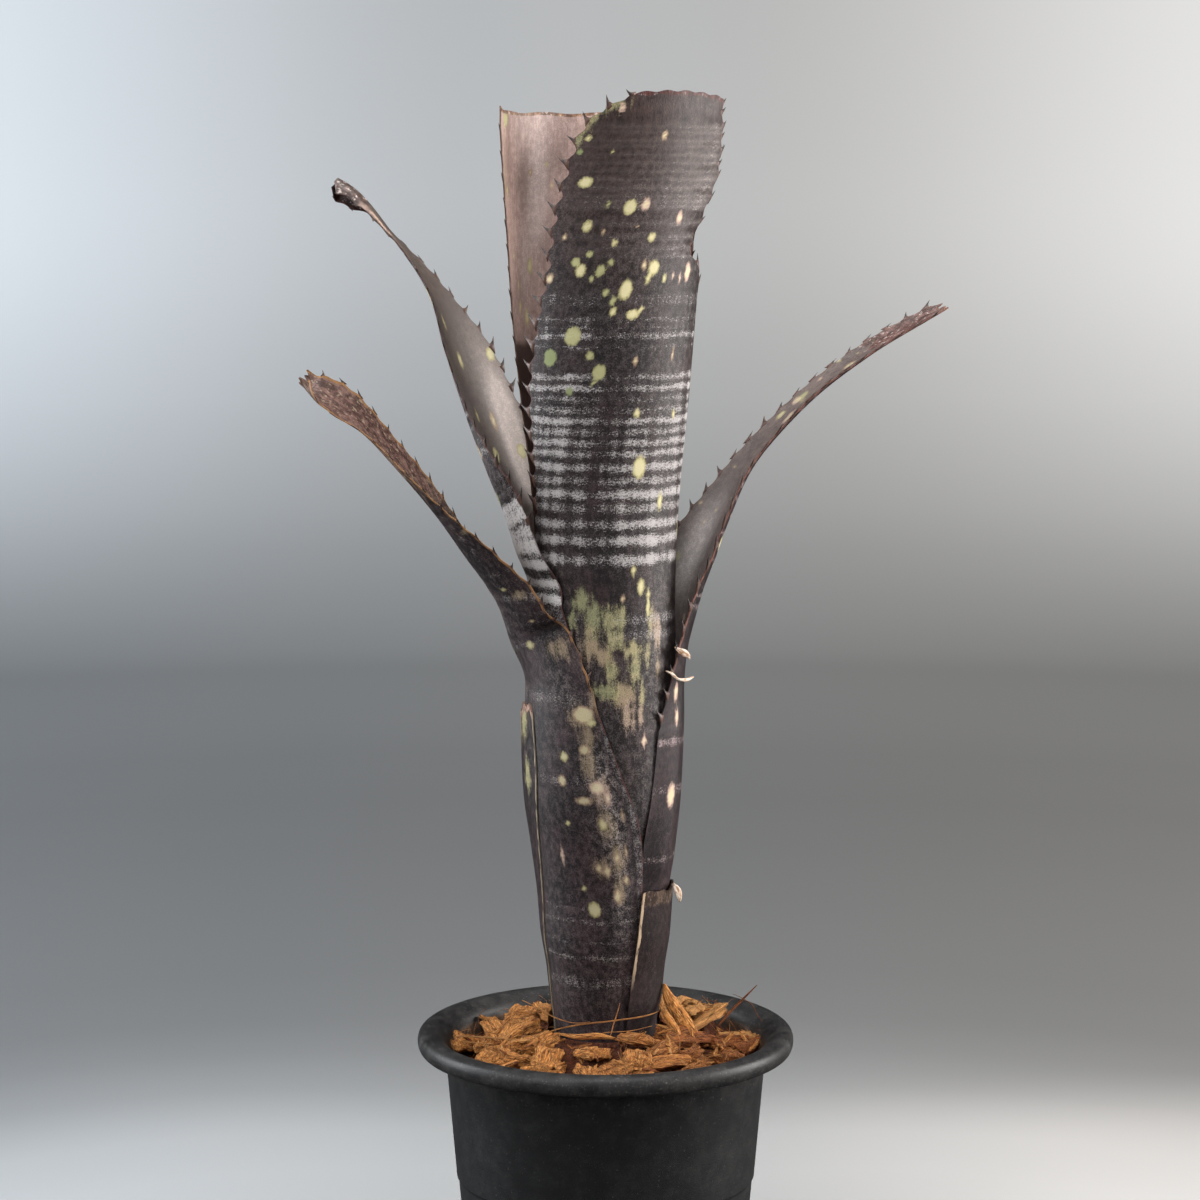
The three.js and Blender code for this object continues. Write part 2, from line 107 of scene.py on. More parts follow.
# %% [markdown]
# ## Helpers for meshes
# Most pieces are grids of points: a leaf is rows up its length and columns across it, and a pot
# is a profile turned round an axis. These helpers turn arrays of points into closed meshes,
# with the faces pointing outwards.

# %% Mesh helpers
def new_object(name, vertices, faces, smooth=True):
    mesh = bpy.data.meshes.new(name)
    mesh.from_pydata((np.asarray(vertices) * MM).tolist(), [], faces)
    mesh.validate()
    if smooth:
        mesh.shade_smooth()
    return placed_object(name, mesh)


def grid_faces(rows, columns, start=0, flip=False):
    index = start + np.arange(rows * columns).reshape(rows, columns)
    corners = [index[:-1, :-1], index[:-1, 1:], index[1:, 1:], index[1:, :-1]]
    if flip:
        corners.reverse()
    return np.stack(corners, axis=-1).reshape(-1, 4).tolist()


def round_turns(sides):
    return np.arange(sides) * 2 * np.pi / sides


def tube_faces(rings, sides, start=0):
    """The faces of a closed tube of rings: its side, ring by ring, and its two ends."""
    faces = []
    last = start + (rings - 1) * sides
    for low in range(start, last, sides):
        for j in range(sides):
            k = (j + 1) % sides
            faces.append([low + j, low + k, low + sides + k, low + sides + j])
    faces.append(list(range(start, start + sides))[::-1])
    faces.append(list(range(last, last + sides)))
    return faces


def point_places(mesh):
    places = np.zeros(len(mesh.vertices) * 3, np.float32)
    mesh.vertices.foreach_get("co", places)
    return places.reshape(-1, 3)


def point_outwards(mesh):
    """Turns a closed mesh the right way out, by the sign of its volume."""
    mesh.calc_loop_triangles()
    triangles = np.zeros(len(mesh.loop_triangles) * 3, np.int32)
    mesh.loop_triangles.foreach_get("vertices", triangles)
    a, b, c = point_places(mesh)[triangles.reshape(-1, 3)].transpose(1, 0, 2)
    if np.einsum("ij,ij->", a, np.cross(b, c)) < 0:
        mesh.flip_normals()


def store(mesh, name, values, kind="FLOAT"):
    attribute = mesh.attributes.new(name, kind, "POINT")
    field = "vector" if kind == "FLOAT_VECTOR" else "value"
    attribute.data.foreach_set(field, np.asarray(values, np.float32).ravel())


def finish_piece(piece, slot, *replaced):
    """Every piece of this plant stands still on the one body, root."""
    if replaced:
        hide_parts(*replaced)
    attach(piece, "root")
    print(piece.name, len(piece.data.polygons), "faces")
    return piece


def smooth_table(table, x):
    """A value between table rows, by a smooth cubic through them."""
    rows = np.asarray(table, float)
    last = len(rows) - 1
    i = int(np.clip(np.searchsorted(rows[:, 0], x) - 1, 0, last - 1))

    def slope(k):
        low, high = rows[max(k - 1, 0)], rows[min(k + 1, last)]
        return (high - low) / (high[0] - low[0])

    a, b = rows[i], rows[i + 1]
    span = b[0] - a[0]
    u = np.clip((x - a[0]) / span, 0, 1)
    near = (2 * u**3 - 3 * u**2 + 1) * a + (u**3 - 2 * u**2 + u) * span * slope(i)
    return near + (3 * u**2 - 2 * u**3) * b + (u**3 - u**2) * span * slope(i + 1)


def random_numbers(seed):
    """The same small random number generator as the CAD model's, so that the chips agree."""
    state = seed
    while True:
        state = (state * 1664525 + 1013904223) % 2**32
        yield state / 2**32


# %% [markdown]
# ## Helpers for node trees
# Shader and geometry trees are built in the script. A value that isn't a socket is a constant,
# so each helper takes either. Colours are written without their alpha, which is always 1.

# %% Node helpers
def put(tree, socket, value):
    """Links a socket to another one's output, or gives it a plain value."""
    if isinstance(value, bpy.types.NodeSocket):
        tree.links.new(value, socket)
    elif value is not None:
        socket.default_value = (*value, 1) if socket.type == "RGBA" else value


def node(tree, kind, inputs=None, **settings):
    made = tree.nodes.new(kind)
    for key, value in settings.items():
        setattr(made, key, value)
    for key, value in (inputs or {}).items():
        put(tree, made.inputs[key], value)
    return made


def calc(tree, operation, a, b=None, c=None, clamp=False):
    inputs = {0: a, 1: b, 2: c}
    made = node(tree, "ShaderNodeMath", inputs, operation=operation, use_clamp=clamp)
    return made.outputs[0]


def product(tree, a, b):
    return calc(tree, "MULTIPLY", a, b)


def scaled(tree, value, factor, added):
    return calc(tree, "MULTIPLY_ADD", value, factor, added)


def ramp_up(tree, value, low, high):
    """0 below low, 1 above high, and smooth between; low above high gives a fall."""
    inputs = {"Value": value, "From Min": low, "From Max": high}
    return node(
        tree, "ShaderNodeMapRange", inputs, interpolation_type="SMOOTHSTEP"
    ).outputs["Result"]


def blend_colours(tree, share, a, b, mode="MIX"):
    inputs = {0: share, 6: a, 7: b}
    return node(tree, "ShaderNodeMix", inputs, data_type="RGBA", blend_type=mode).outputs[2]


def filtered(tree, colour, factors):
    return blend_colours(tree, 1.0, colour, factors, "MULTIPLY")


def object_place(tree):
    return node(tree, "ShaderNodeTexCoord").outputs["Object"]


def stored(tree, name, output="Fac"):
    """An attribute that was stored on the mesh, as a number or as a vector."""
    return node(tree, "ShaderNodeAttribute", attribute_name=name).outputs[output]


def stretched(tree, vector, scale):
    inputs = {0: vector, 1: scale}
    return node(tree, "ShaderNodeVectorMath", inputs, operation="MULTIPLY").outputs[0]


def from_axis(tree, place):
    """The distance from the upright axis through the origin."""
    level = stretched(tree, place, (1, 1, 0))
    return node(tree, "ShaderNodeVectorMath", {0: level}, operation="LENGTH").outputs["Value"]


def noise(tree, vector, scale=1.0, detail=3.0, roughness=0.5, distortion=0.0):
    inputs = {
        "Vector": vector,
        "Scale": scale,
        "Detail": detail,
        "Roughness": roughness,
        "Distortion": distortion,
    }
    return node(tree, "ShaderNodeTexNoise", inputs).outputs[0]


def new_group(name, kind, inputs, outputs):
    """A node tree with named sockets: label, kind and usual value, such as ("Seed", "Int", 3)."""
    tree = bpy.data.node_groups.new(name, kind)
    sockets = tree.interface
    for label, holds, value in inputs:
        socket = sockets.new_socket(name=label, in_out="INPUT", socket_type="NodeSocket" + holds)
        if value is not None:
            socket.default_value = (*value, 1) if holds == "Color" else value
    for label, holds in outputs:
        sockets.new_socket(name=label, in_out="OUTPUT", socket_type="NodeSocket" + holds)
    return tree, tree.nodes.new("NodeGroupInput").outputs, tree.nodes.new("NodeGroupOutput")


def new_material(name, **shader_values):
    """A material with its Principled BSDF, whose plain values are set on its own sockets."""
    material = bpy.data.materials.new(name)
    material.use_nodes = True
    shader = material.node_tree.nodes["Principled BSDF"]
    for label, value in shader_values.items():
        put(material.node_tree, shader.inputs[label.replace("_", " ")], value)
    return material, material.node_tree, shader


def use_group(tree, group, **values):
    inputs = {label.replace("_", " "): value for label, value in values.items()}
    return node(tree, "ShaderNodeGroup", inputs, node_tree=group).outputs


def finish_shader(tree, shader, colour, rough, height, distance, strength=1.0):
    """Links a skin's colour and roughness, and its relief as a bump of that many metres."""
    relief = {"Height": height, "Distance": distance, "Strength": strength}
    put(tree, shader.inputs["Base Color"], colour)
    put(tree, shader.inputs["Roughness"], rough)
    put(tree, shader.inputs["Normal"], node(tree, "ShaderNodeBump", relief).outputs["Normal"])


def random_value(tree, kind, low, high, seed):
    made = node(tree, "FunctionNodeRandomValue", {"Seed": seed}, data_type=kind)
    first = 0 if kind == "FLOAT_VECTOR" else 2
    put(tree, made.inputs[first], low)
    put(tree, made.inputs[first + 1], high)
    return made.outputs[first // 2]


def named_attribute(tree, name, kind):
    inputs = {"Name": name}
    return node(tree, "GeometryNodeInputNamedAttribute", inputs, data_type=kind).outputs[0]


def finish_geometry(tree, geometry, material, result):
    """Makes copies real meshes, because the export drops instances, and gives the material."""
    real = node(tree, "GeometryNodeRealizeInstances", {"Geometry": geometry})
    inputs = {"Geometry": real.outputs[0], "Material": material}
    tree.links.new(node(tree, "GeometryNodeSetMaterial", inputs).outputs[0], result.inputs[0])


def grow(source, tree, name, **inputs):
    """Runs a geometry tree on an object and returns the result as a plain mesh object."""
    modifier = source.modifiers.new(tree.name, "NODES")
    modifier.node_group = tree
    for item in tree.interface.items_tree:
        label = item.name.replace(" ", "_")
        if item.in_out == "INPUT" and label in inputs:
            modifier[item.identifier] = inputs[label]
    bpy.context.view_layer.update()
    evaluated = source.evaluated_get(bpy.context.evaluated_depsgraph_get())
    mesh = bpy.data.meshes.new_from_object(evaluated)
    mesh.name = name
    source.modifiers.remove(modifier)
    return placed_object(name, mesh)


# %% [markdown]
# ## The plant's tube
# A billbergia's leaves wrap one another at the foot and make a tube that holds water. The tube
# is thin at the soil, swells, and opens upwards. Every sheath is a layer of the same tube, so
# one table of heights and radii drives them all.

# %% The tube and the leaf stations
STEM_X, STEM_Y = -0.3, 5.0
LAYER_PITCH = 1.4
LEAF_BASE_Z = 90
TUBE = [
    [84, 17.0, STEM_X], [105, 17.2, STEM_X], [115, 18.4, STEM_X], [125, 19.4, STEM_X],
    [135, 20.9, STEM_X], [150, 22.0, STEM_X], [165, 23.8, STEM_X], [180, 25.8, STEM_X],
    [200, 26.6, STEM_X], [225, 26.6, STEM_X], [252, 26.8, -0.5], [280, 28.6, -0.8], [305, 31.3, -1.1],
    [330, 33.6, -1.4], [353, 35.3, -1.2], [380, 38.2, 0], [400, 40.2, 0.8],
]


def wrapped(layer, z, bearing, left, right):
    """A station in a level ring of its layer: the half widths are angles round the tube."""
    _, tube_radius, centre = smooth_table(TUBE, z)
    radius = tube_radius - layer * LAYER_PITCH
    out = math.radians(bearing)
    x = centre + radius * math.sin(out)
    y = STEM_Y - radius * math.cos(out)
    widths = [radius * math.radians(left), radius * math.radians(right)]
    section = [x, y, z, bearing, *widths, left + right, 0, 0]
    return section, [layer, z, bearing, left, right]


def free(x, y, z, bearing, left, right, turn, roll=0):
    """A station off the tube: a midrib place, half widths, the turn across, and a roll."""
    return [x, y, z, bearing, left, right, turn, roll, 1], None


def numbered(rows):
    return [[i, *row] for i, row in enumerate(rows)]


def section_at(stations, u):
    rings = [ring for _, ring in stations if ring]
    if u <= len(rings) - 1:
        return wrapped(*smooth_table(numbered(rings), u)[1:])[0]
    return smooth_table(numbered([section for section, _ in stations]), u)[1:]


print("tube radius at 250 mm:", round(float(smooth_table(TUBE, 250)[1]), 1), "mm")

# %% [markdown]
# Each leaf is a row of stations up its midrib: first those in the tube, then those off it. The
# outermost leaf comes first. A bearing of 0 is the front and 90 the right. The stations are those
# of the CAD model, and scallops, spines, spots and other finer things are laid over them.

# %% Leaf stations
IN_TUBE = {
    "leaf_front_left": [
        (1, LEAF_BASE_Z, -52, 86, 88), (1, 115, -53, 86, 88), (1, 150, -56, 84, 88),
        (1, 177, -60, 80, 79), (1, 199, -63, 74, 64), (1, 217, -66, 68, 57),
    ],
    "leaf_right": [
        (1, LEAF_BASE_Z, 115, 76, 80), (1, 115, 115, 76, 80), (1, 148, 115, 76, 80),
        (0.7, 162, 115, 79, 78), (1.1, 183, 116, 69, 76), (1, 203, 117, 60, 70),
    ],
    "leaf_left": [
        (2, LEAF_BASE_Z, -110, 85, 150), (2, 115, -110, 85, 150), (2, 163, -112, 85, 147),
        (2, 193, -114, 80, 124), (2, 234, -116, 72, 89), (2, 247, -117, 68, 79),
    ],
    "leaf_front": [
        (3, LEAF_BASE_Z, 0, 100, 95), (3, 115, 0, 100, 95), (3, 160, 0, 96, 84),
        (3, 200, -2, 84, 62), (3, 240, -5, 72, 59), (3, 270, -3, 62, 58), (3, 305, 5, 63, 63),
        (3, 325, 10, 57, 57), (3, 345, 18, 53, 53), (3, 362, 23, 52, 51), (3, 380, 29, 49, 49),
        (3, 390, 31, 46, 46), (3, 397, 32, 37, 42),
    ],
    "leaf_back": [
        (4, LEAF_BASE_Z, 180, 95, 95), (4, 115, 180, 95, 95), (4, 160, 180, 96, 94),
        (4, 200, 180, 100, 92), (4, 240, 180, 103, 90), (4, 270, 180, 104, 88),
        (4, 305, 180, 100, 86), (4, 330, 180, 96, 86), (4, 360, 180, 90, 86), (4, 385, 180, 80, 86),
        (4, 394, 180, 70, 82),
    ],
    "stub_right": [
        (0, LEAF_BASE_Z, 105, 82, 80), (0, 110, 105, 80, 80), (0, 130, 105, 75, 78),
        (0, 151, 105, 70, 75),
    ],
    "stub_left": [
        (0, LEAF_BASE_Z, -112, 50, 42), (0, 110, -112, 50, 44), (0, 135, -112, 50, 48),
        (0, 165, -110, 50, 52), (0, 188, -108, 48, 52), (0, 207, -108, 38, 46),
    ],
}
OFF_TUBE = {
    "leaf_front_left": [
        (-29, -3, 232, -70, 27, 22, 110, 3), (-34.5, -6, 245, -74, 24, 19, 95, 10),
        (-42, -9, 256, -78, 21, 15, 85, 12), (-53, -12, 271, -82, 17, 11, 72, 6),
        (-65, -15, 286, -84, 14, 10.5, 62, -3), (-76, -17, 299, -86, 11, 10, 60, -12),
        (-85, -19, 306, -88, 8, 7, 70, -18), (-90, -20, 309, -88, 5, 5, 90, -18),
        (-92.5, -20, 311, -88, 3, 3, 90, -18),
    ],
    "leaf_right": [
        (22.3, 17, 220, 118, 20, 24, 101), (25.5, 18, 237, 119, 19, 20, 110),
        (30, 20, 254, 119, 17, 14, 92), (38, 22, 271, 114, 15, 10, 75),
        (49, 26, 287, 106, 12, 9, 62), (67, 31, 305, 100, 10, 8, 60), (86, 35, 319, 98, 7, 7, 60),
        (103, 38, 329, 96, 5, 5, 70), (109, 39, 332.5, 96, 2.5, 2.5, 70),
    ],
    "leaf_left": [
        (-26.5, 15, 262, -118, 26, 27, 125), (-32.5, 18, 277, -118, 22, 24, 105),
        (-40.5, 22, 298, -118, 19, 20, 85), (-48, 26, 320, -118, 15, 15, 70),
        (-55.5, 29, 338, -110, 8, 9, 60), (-66.5, 32, 353.5, -102, 5, 6, 50),
        (-78, 34, 368, -98, 4, 4, 40), (-86, 35, 374, -98, 3, 3, 40),
    ],
}
print(len(IN_TUBE), "leaves and stubs")

# %% [markdown]
# ## Leaf blades
# A blade is a thin closed shell: an outer grid, an inner grid and a wall round the edge. The
# shell is fullest in the middle and thin at the margins. The margins are scalloped between the
# spines, which stand one to each scallop's peak, so both come from one count along the margin.
# Every point keeps its place on the leaf as an attribute: millimetres across the midrib and
# along it, and the distance to the margin. The skin's pattern is drawn with these, so that it
# follows the leaf wherever it bends.

# %% Blade maker
ROW_STEP = 0.85
LEAF_THICKNESS = 0.8
MARGIN_THICKNESS = 0.35
MARGIN_FADE = 6.0
SPINE_PITCH = 7.2

LEAVES = {
    "leaf_front_left": dict(
        columns=48, spines=[8, 5], size=[(5, 2.3), (14, 1.8)], scallop=0.5,
        cut=lambda t: 2.4 * np.sin(8.5 * t + 0.9) + 0.8 * np.sin(37 * t + 1) - 0.5,
        wider={"left": [(11, 0), (13, 2.2), (14, 3.6)], "right": [(11, 0), (13, 2.2), (14, 3.6)]},
        lean={"right": [(0, 0.8), (4, 1.2), (6, 0.8), (7, 0)]},
    ),
    "leaf_right": dict(
        columns=44, spines=[5, 6], size=[(5, 3.8), (14, 2.4)], scallop=0.5,
        wider={
            "left": [(3, 0), (4, 2), (5, 4.5), (6, 7), (6.6, 5), (8.5, 4), (10, 0.5), (14, 1.4)],
        },
        cut=lambda t: 1.3 * np.sin(14 * t) + 0.6 * np.sin(41 * t + 1) - 0.3,
        lean={"left": [(0, 0.8), (2, 2.1), (4, 2.3), (5.2, 1.8), (6, 0), (7, -1), (8.5, 0)]},
        curl=[(0, 0)],
        twist=[(6.5, 0), (8, -9), (10, -5), (12, -14), (14, -32)],
    ),
    "leaf_left": dict(
        columns=56, spines=[6, 6], size=[(6, 3.6), (10, 2.7), (11.2, 1.5), (13, 1.1)], scallop=0.5,
        wider={
            "right": [(4.5, 0), (5.3, 3), (6, 5), (7, 5), (7.6, 3), (8.2, 0), (10.6, 0), (11.3, -2),
                      (11.9, 0), (12.7, 2), (13, -1)],
            "left": [(10.6, 0), (11.3, -2), (11.9, 3), (12.7, 6.5), (13, 2)],
        },
        curl=[(11, 0), (11.6, -110), (12, -260), (13, -330)],
        twist=[(11, 0), (12, 5), (13, 5)],
    ),
    "leaf_front": dict(
        columns=60, spines=[5, 6], size=[(5, 3.8), (12, 2.6)], scallop=2.0,
        more_spines=[(724, 101), (722, 112), (721, 124), (720, 137), (718, 150), (716, 162)],
        cut=lambda t: 3.2 * np.sin(np.pi * (0.3 + 0.55 * t)) + 0.25 * np.sin(31 * t),
        wider={
            "right": [(0, 0), (1, 15), (3, 21), (4, 26), (5, 26), (6, 17), (7, 16), (7.6, 13),
                      (8.3, 0)],
            "left": [(10.0, 0), (10.8, -1), (11.3, -3.2), (11.7, -7), (12, -12)],
        },
        lean={"right": [(7.6, 0), (8.1, -0.6), (8.5, 2.6), (9.0, 0), (9.6, -2.4), (12, -1.2)]},
    ),
    "leaf_back": dict(
        columns=56, spines=[5, 5], size=[(5, 2.6), (10, 2.2)], scallop=0.5,
        wider={"left": [(6.8, 0), (7.6, -8), (8.6, -8), (9.2, 0)]},
        cut=lambda t: 1.0 + 0.3 * np.sin(29 * t) + 1.8 * np.exp((t - 1) / 0.02),
    ),
    "stub_right": dict(
        columns=44, scallop=0.0, cut=lambda t: 0.5 * np.sin(21 * t) + 0.35 * np.sin(47 * t),
        lean={"left": [(0, 0.7), (3, 0.8)]},
    ),
    "stub_left": dict(
        columns=44, scallop=0.0,
        cut=lambda t: 5 * t + 1.5 * np.sin(16 * t) + 0.9 * np.sin(61 * t + 1) - 3,
        wider={"right": [(0, -4), (2, -4), (3, -3), (4, -1), (5, 0)]},
        lean={"right": [(0, 1.0), (5, 0.9)]},
    ),
}
LEAN_REACH = 12.0
NARROW_SCALLOP = 0.12
CROWDING = 0.3
SHARP_ANGLE = 50
INNER_SHIFT = 500.0
STATION_STEP = 0.01
FINE_STEPS = 30


def frames_along(stations, numbers):
    """The midrib places, side and inward directions, half widths and bends at station numbers."""
    rows = []
    last = len(stations) - 1
    for u in numbers:
        here = section_at(stations, u)
        ahead = np.array(section_at(stations, min(u + STATION_STEP, last))[:3])
        behind = np.array(section_at(stations, max(u - STATION_STEP, 0))[:3])
        _, _, _, bearing, left, right, turn, roll, tilt = here
        along = (ahead - behind) / np.linalg.norm(ahead - behind)
        along = tilt * along + (1 - tilt) * np.array([0, 0, 1.0])
        along /= np.linalg.norm(along)
        out = math.radians(bearing)
        inward = np.array([-math.sin(out), math.cos(out), 0])
        inward -= along * (inward @ along)
        inward /= np.linalg.norm(inward)
        turned = math.radians(roll)
        inward = inward * math.cos(turned) + np.cross(along, inward) * math.sin(turned)
        sideways = np.cross(along, inward)
        bend = math.radians(turn) / (left + right)
        rows.append([*here[:3], *sideways, *inward, left, right, bend])
    table = np.array(rows)
    return table[:, :3], table[:, 3:6], table[:, 6:9], table[:, 9], table[:, 10], table[:, 11]


def blade_points(frames, arcs, depth):
    middle, sideways, inward, _, _, bend = frames
    bend = bend[:, None]
    angle = bend * arcs
    aside = np.sin(angle) / bend - depth * np.sin(angle)
    into = (1 - np.cos(angle)) / bend + depth * np.cos(angle)
    return (
        middle[:, None, :]
        + aside[..., None] * sideways[:, None, :]
        + into[..., None] * inward[:, None, :]
    )


def even_numbers(stations, step):
    """Station numbers a fixed distance apart along the midrib, and those distances."""
    numbers = np.linspace(0, len(stations) - 1, FINE_STEPS * len(stations))
    places = np.array([section_at(stations, u)[:3] for u in numbers])
    reach = np.concatenate([[0], np.linalg.norm(np.diff(places, axis=0), axis=1).cumsum()])
    distances = np.linspace(0, reach[-1], int(reach[-1] / step) + 1)
    return np.interp(distances, reach, numbers), distances


def scallops(edge, active, depth):
    """How far the margin draws in along it, and where the spines stand: row and direction."""
    steps = np.linalg.norm(np.diff(edge, axis=0), axis=1) * active[:-1]
    run = np.concatenate([[0], steps.cumsum()])
    drawn_in = depth * (0.5 + 0.5 * np.cos(2 * np.pi * run / SPINE_PITCH)) * active
    peaks = np.arange(SPINE_PITCH / 2, run[-1] - 1.0, SPINE_PITCH)
    return drawn_in, np.interp(peaks, run + TINY * np.arange(len(run)), np.arange(len(run)))


def along_stations(table, numbers):
    """Amounts given at some station numbers, for every row."""
    return np.interp(numbers, [row[0] for row in table], [row[1] for row in table])


def leaning(lean, numbers, left, right, arcs):
    """How far the strips beside the margins lean inwards, against the layer beneath."""
    moved = np.zeros(arcs.shape)
    for side, table in (lean or {}).items():
        to_margin = left[:, None] - arcs if side == "left" else arcs + right[:, None]
        share = np.clip(1 - to_margin / LEAN_REACH, 0, 1)
        moved += along_stations(table, numbers)[:, None] * share**2 * (3 - 2 * share)
    return moved


def curled(frames, more_bend, twist):
    """Bends the leaf more across its width, and rolls it about its midrib."""
    middle, sideways, inward, left, right, bend = frames
    c, s = np.cos(np.radians(twist))[:, None], np.sin(np.radians(twist))[:, None]
    sideways, inward = c * sideways + s * inward, c * inward - s * sideways
    return middle, sideways, inward, left, right, bend + more_bend


def shell_object(name, outer, inner):
    """A closed shell of an outer and an inner grid, with a wall round the edge."""
    rows, columns = outer.shape[:2]
    count = rows * columns
    faces = grid_faces(rows, columns) + grid_faces(rows, columns, count, flip=True)
    grid_count = len(faces) // 2
    index = np.arange(count).reshape(rows, columns)
    rim = [*index[0, :], *index[1:, -1], *index[-1, -2::-1], *index[-2:0:-1, 0]]
    for a, b in zip(rim, rim[1:] + rim[:1]):
        faces.append([int(b), int(a), int(a) + count, int(b) + count])
    piece = new_object(name, np.concatenate([outer.reshape(-1, 3), inner.reshape(-1, 3)]), faces)
    inside = np.zeros(len(faces), np.int32)
    inside[grid_count : 2 * grid_count] = 1
    piece.data.polygons.foreach_set("material_index", inside)
    point_outwards(piece.data)
    piece.data.set_sharp_from_angle(angle=math.radians(SHARP_ANGLE))
    return piece


def spine_roots(middle, spine_rows, lengths):
    """For every spine: its place, the ways up the leaf and outwards there, and its length."""
    roots = []
    last = len(middle) - 1
    for side, column, inboard in (("left", 0, 3), ("right", -1, -4)):
        edge = middle[:, column]
        for row in spine_rows.get(side, []):
            i = int(min(row, last - 1))
            root = edge[i] + (edge[i + 1] - edge[i]) * (row - i)
            ahead = edge[min(i + 4, last)] - edge[max(i - 3, 0)]
            roots.append([root, ahead, root - middle[i, inboard], float(lengths[i])])
    return roots


def build_blade(
    name, columns, scallop, spines=None, size=None, cut=None, wider=None, lean=None,
    curl=None, twist=None, more_spines=(),
):
    stations = [wrapped(*row) for row in IN_TUBE[name]]
    stations += [free(*row) for row in OFF_TUBE.get(name, [])]
    numbers, distances = even_numbers(stations, ROW_STEP)
    frames = frames_along(stations, numbers)
    left, right = frames[3].copy(), frames[4].copy()
    for side, table in (wider or {}).items():
        width = left if side == "left" else right
        width += along_stations(table, numbers)
    if curl:
        bend = np.radians(along_stations(curl, numbers)) / (left + right)
        frames = curled(frames, bend, along_stations(twist, numbers))
    spine_rows = {}
    if spines:
        for side, width, sign, start in zip(("left", "right"), (left, right), (1, -1), spines):
            edge = blade_points(frames, (sign * width)[:, None], 0.0)[:, 0]
            active = (numbers >= start).astype(float)
            depth = np.minimum(scallop, NARROW_SCALLOP * width)
            drawn_in, spine_rows[side] = scallops(edge, active, depth)
            width -= drawn_in

    spread = np.linspace(-1, 1, columns + 1)
    spread = (1 - CROWDING) * spread + CROWDING * np.sin(spread * np.pi / 2)
    arcs = ((1 - spread) * left[:, None] - (1 + spread) * right[:, None]) / 2
    to_edge = np.minimum(left[:, None] - arcs, arcs + right[:, None])
    fullness = np.clip(to_edge / MARGIN_FADE, 0, 1)
    thick = MARGIN_THICKNESS + (LEAF_THICKNESS - MARGIN_THICKNESS) * np.sqrt(fullness)
    lifted = leaning(lean, numbers, left, right, arcs)
    outer = blade_points(frames, arcs, lifted)
    inner = blade_points(frames, arcs, lifted + thick)
    if cut:
        share = (spread + 1) / 2
        longer = np.clip(numbers - (len(stations) - 2), 0, 1)[:, None] * cut(share)[None, :]
        ahead = np.cross(frames[2], frames[1])[:, None, :]
        outer += longer[..., None] * ahead
        inner += longer[..., None] * ahead

    piece = shell_object(name + "_blade", outer, inner)
    along = np.repeat(distances[:, None], columns + 1, axis=1)
    field = dict(outer=outer, inner=inner, across=arcs, along=along)
    places = np.stack([arcs, along, 0 * arcs], axis=-1).reshape(-1, 3)
    places = np.concatenate([places, places + [INNER_SHIFT, 0, 0]])
    store(piece.data, "leaf_place", places, "FLOAT_VECTOR")
    store(piece.data, "margin", np.tile(to_edge.ravel(), 2))

    seen = front_view(outer[:, -1])
    for x, y in more_spines:
        row = np.argmin(np.hypot(seen[:, 0] - x, seen[:, 1] - y))
        spine_rows["right"] = np.append(spine_rows["right"], row)
    lengths = along_stations(size or [(0, 0)], numbers)
    return piece, field, spine_roots((outer + inner) / 2, spine_rows, lengths)


BLADES = {}
for leaf_name, leaf_facts in LEAVES.items():
    BLADES[leaf_name] = build_blade(leaf_name, **leaf_facts)
    blade, _, points = BLADES[leaf_name]
    print(leaf_name, len(blade.data.polygons), "faces,", len(points), "spines")

# %% [markdown]
# ## Marks on the leaves
# Spots and cross bands are the plant's signature. Each is described by where it appears from the
# front, in pixels of a 1200 by 1200 picture, with its half width and half height, and a tint from
# green over yellow and tan to pink. The code looks up the leaf point that shows there, and then
# measures over the leaf's own skin. What is stored is the distance to the nearest spot's border,
# because a distance can be cut off sharply in the shader at any resolution, whereas a painted
# colour would blur between the mesh's points.

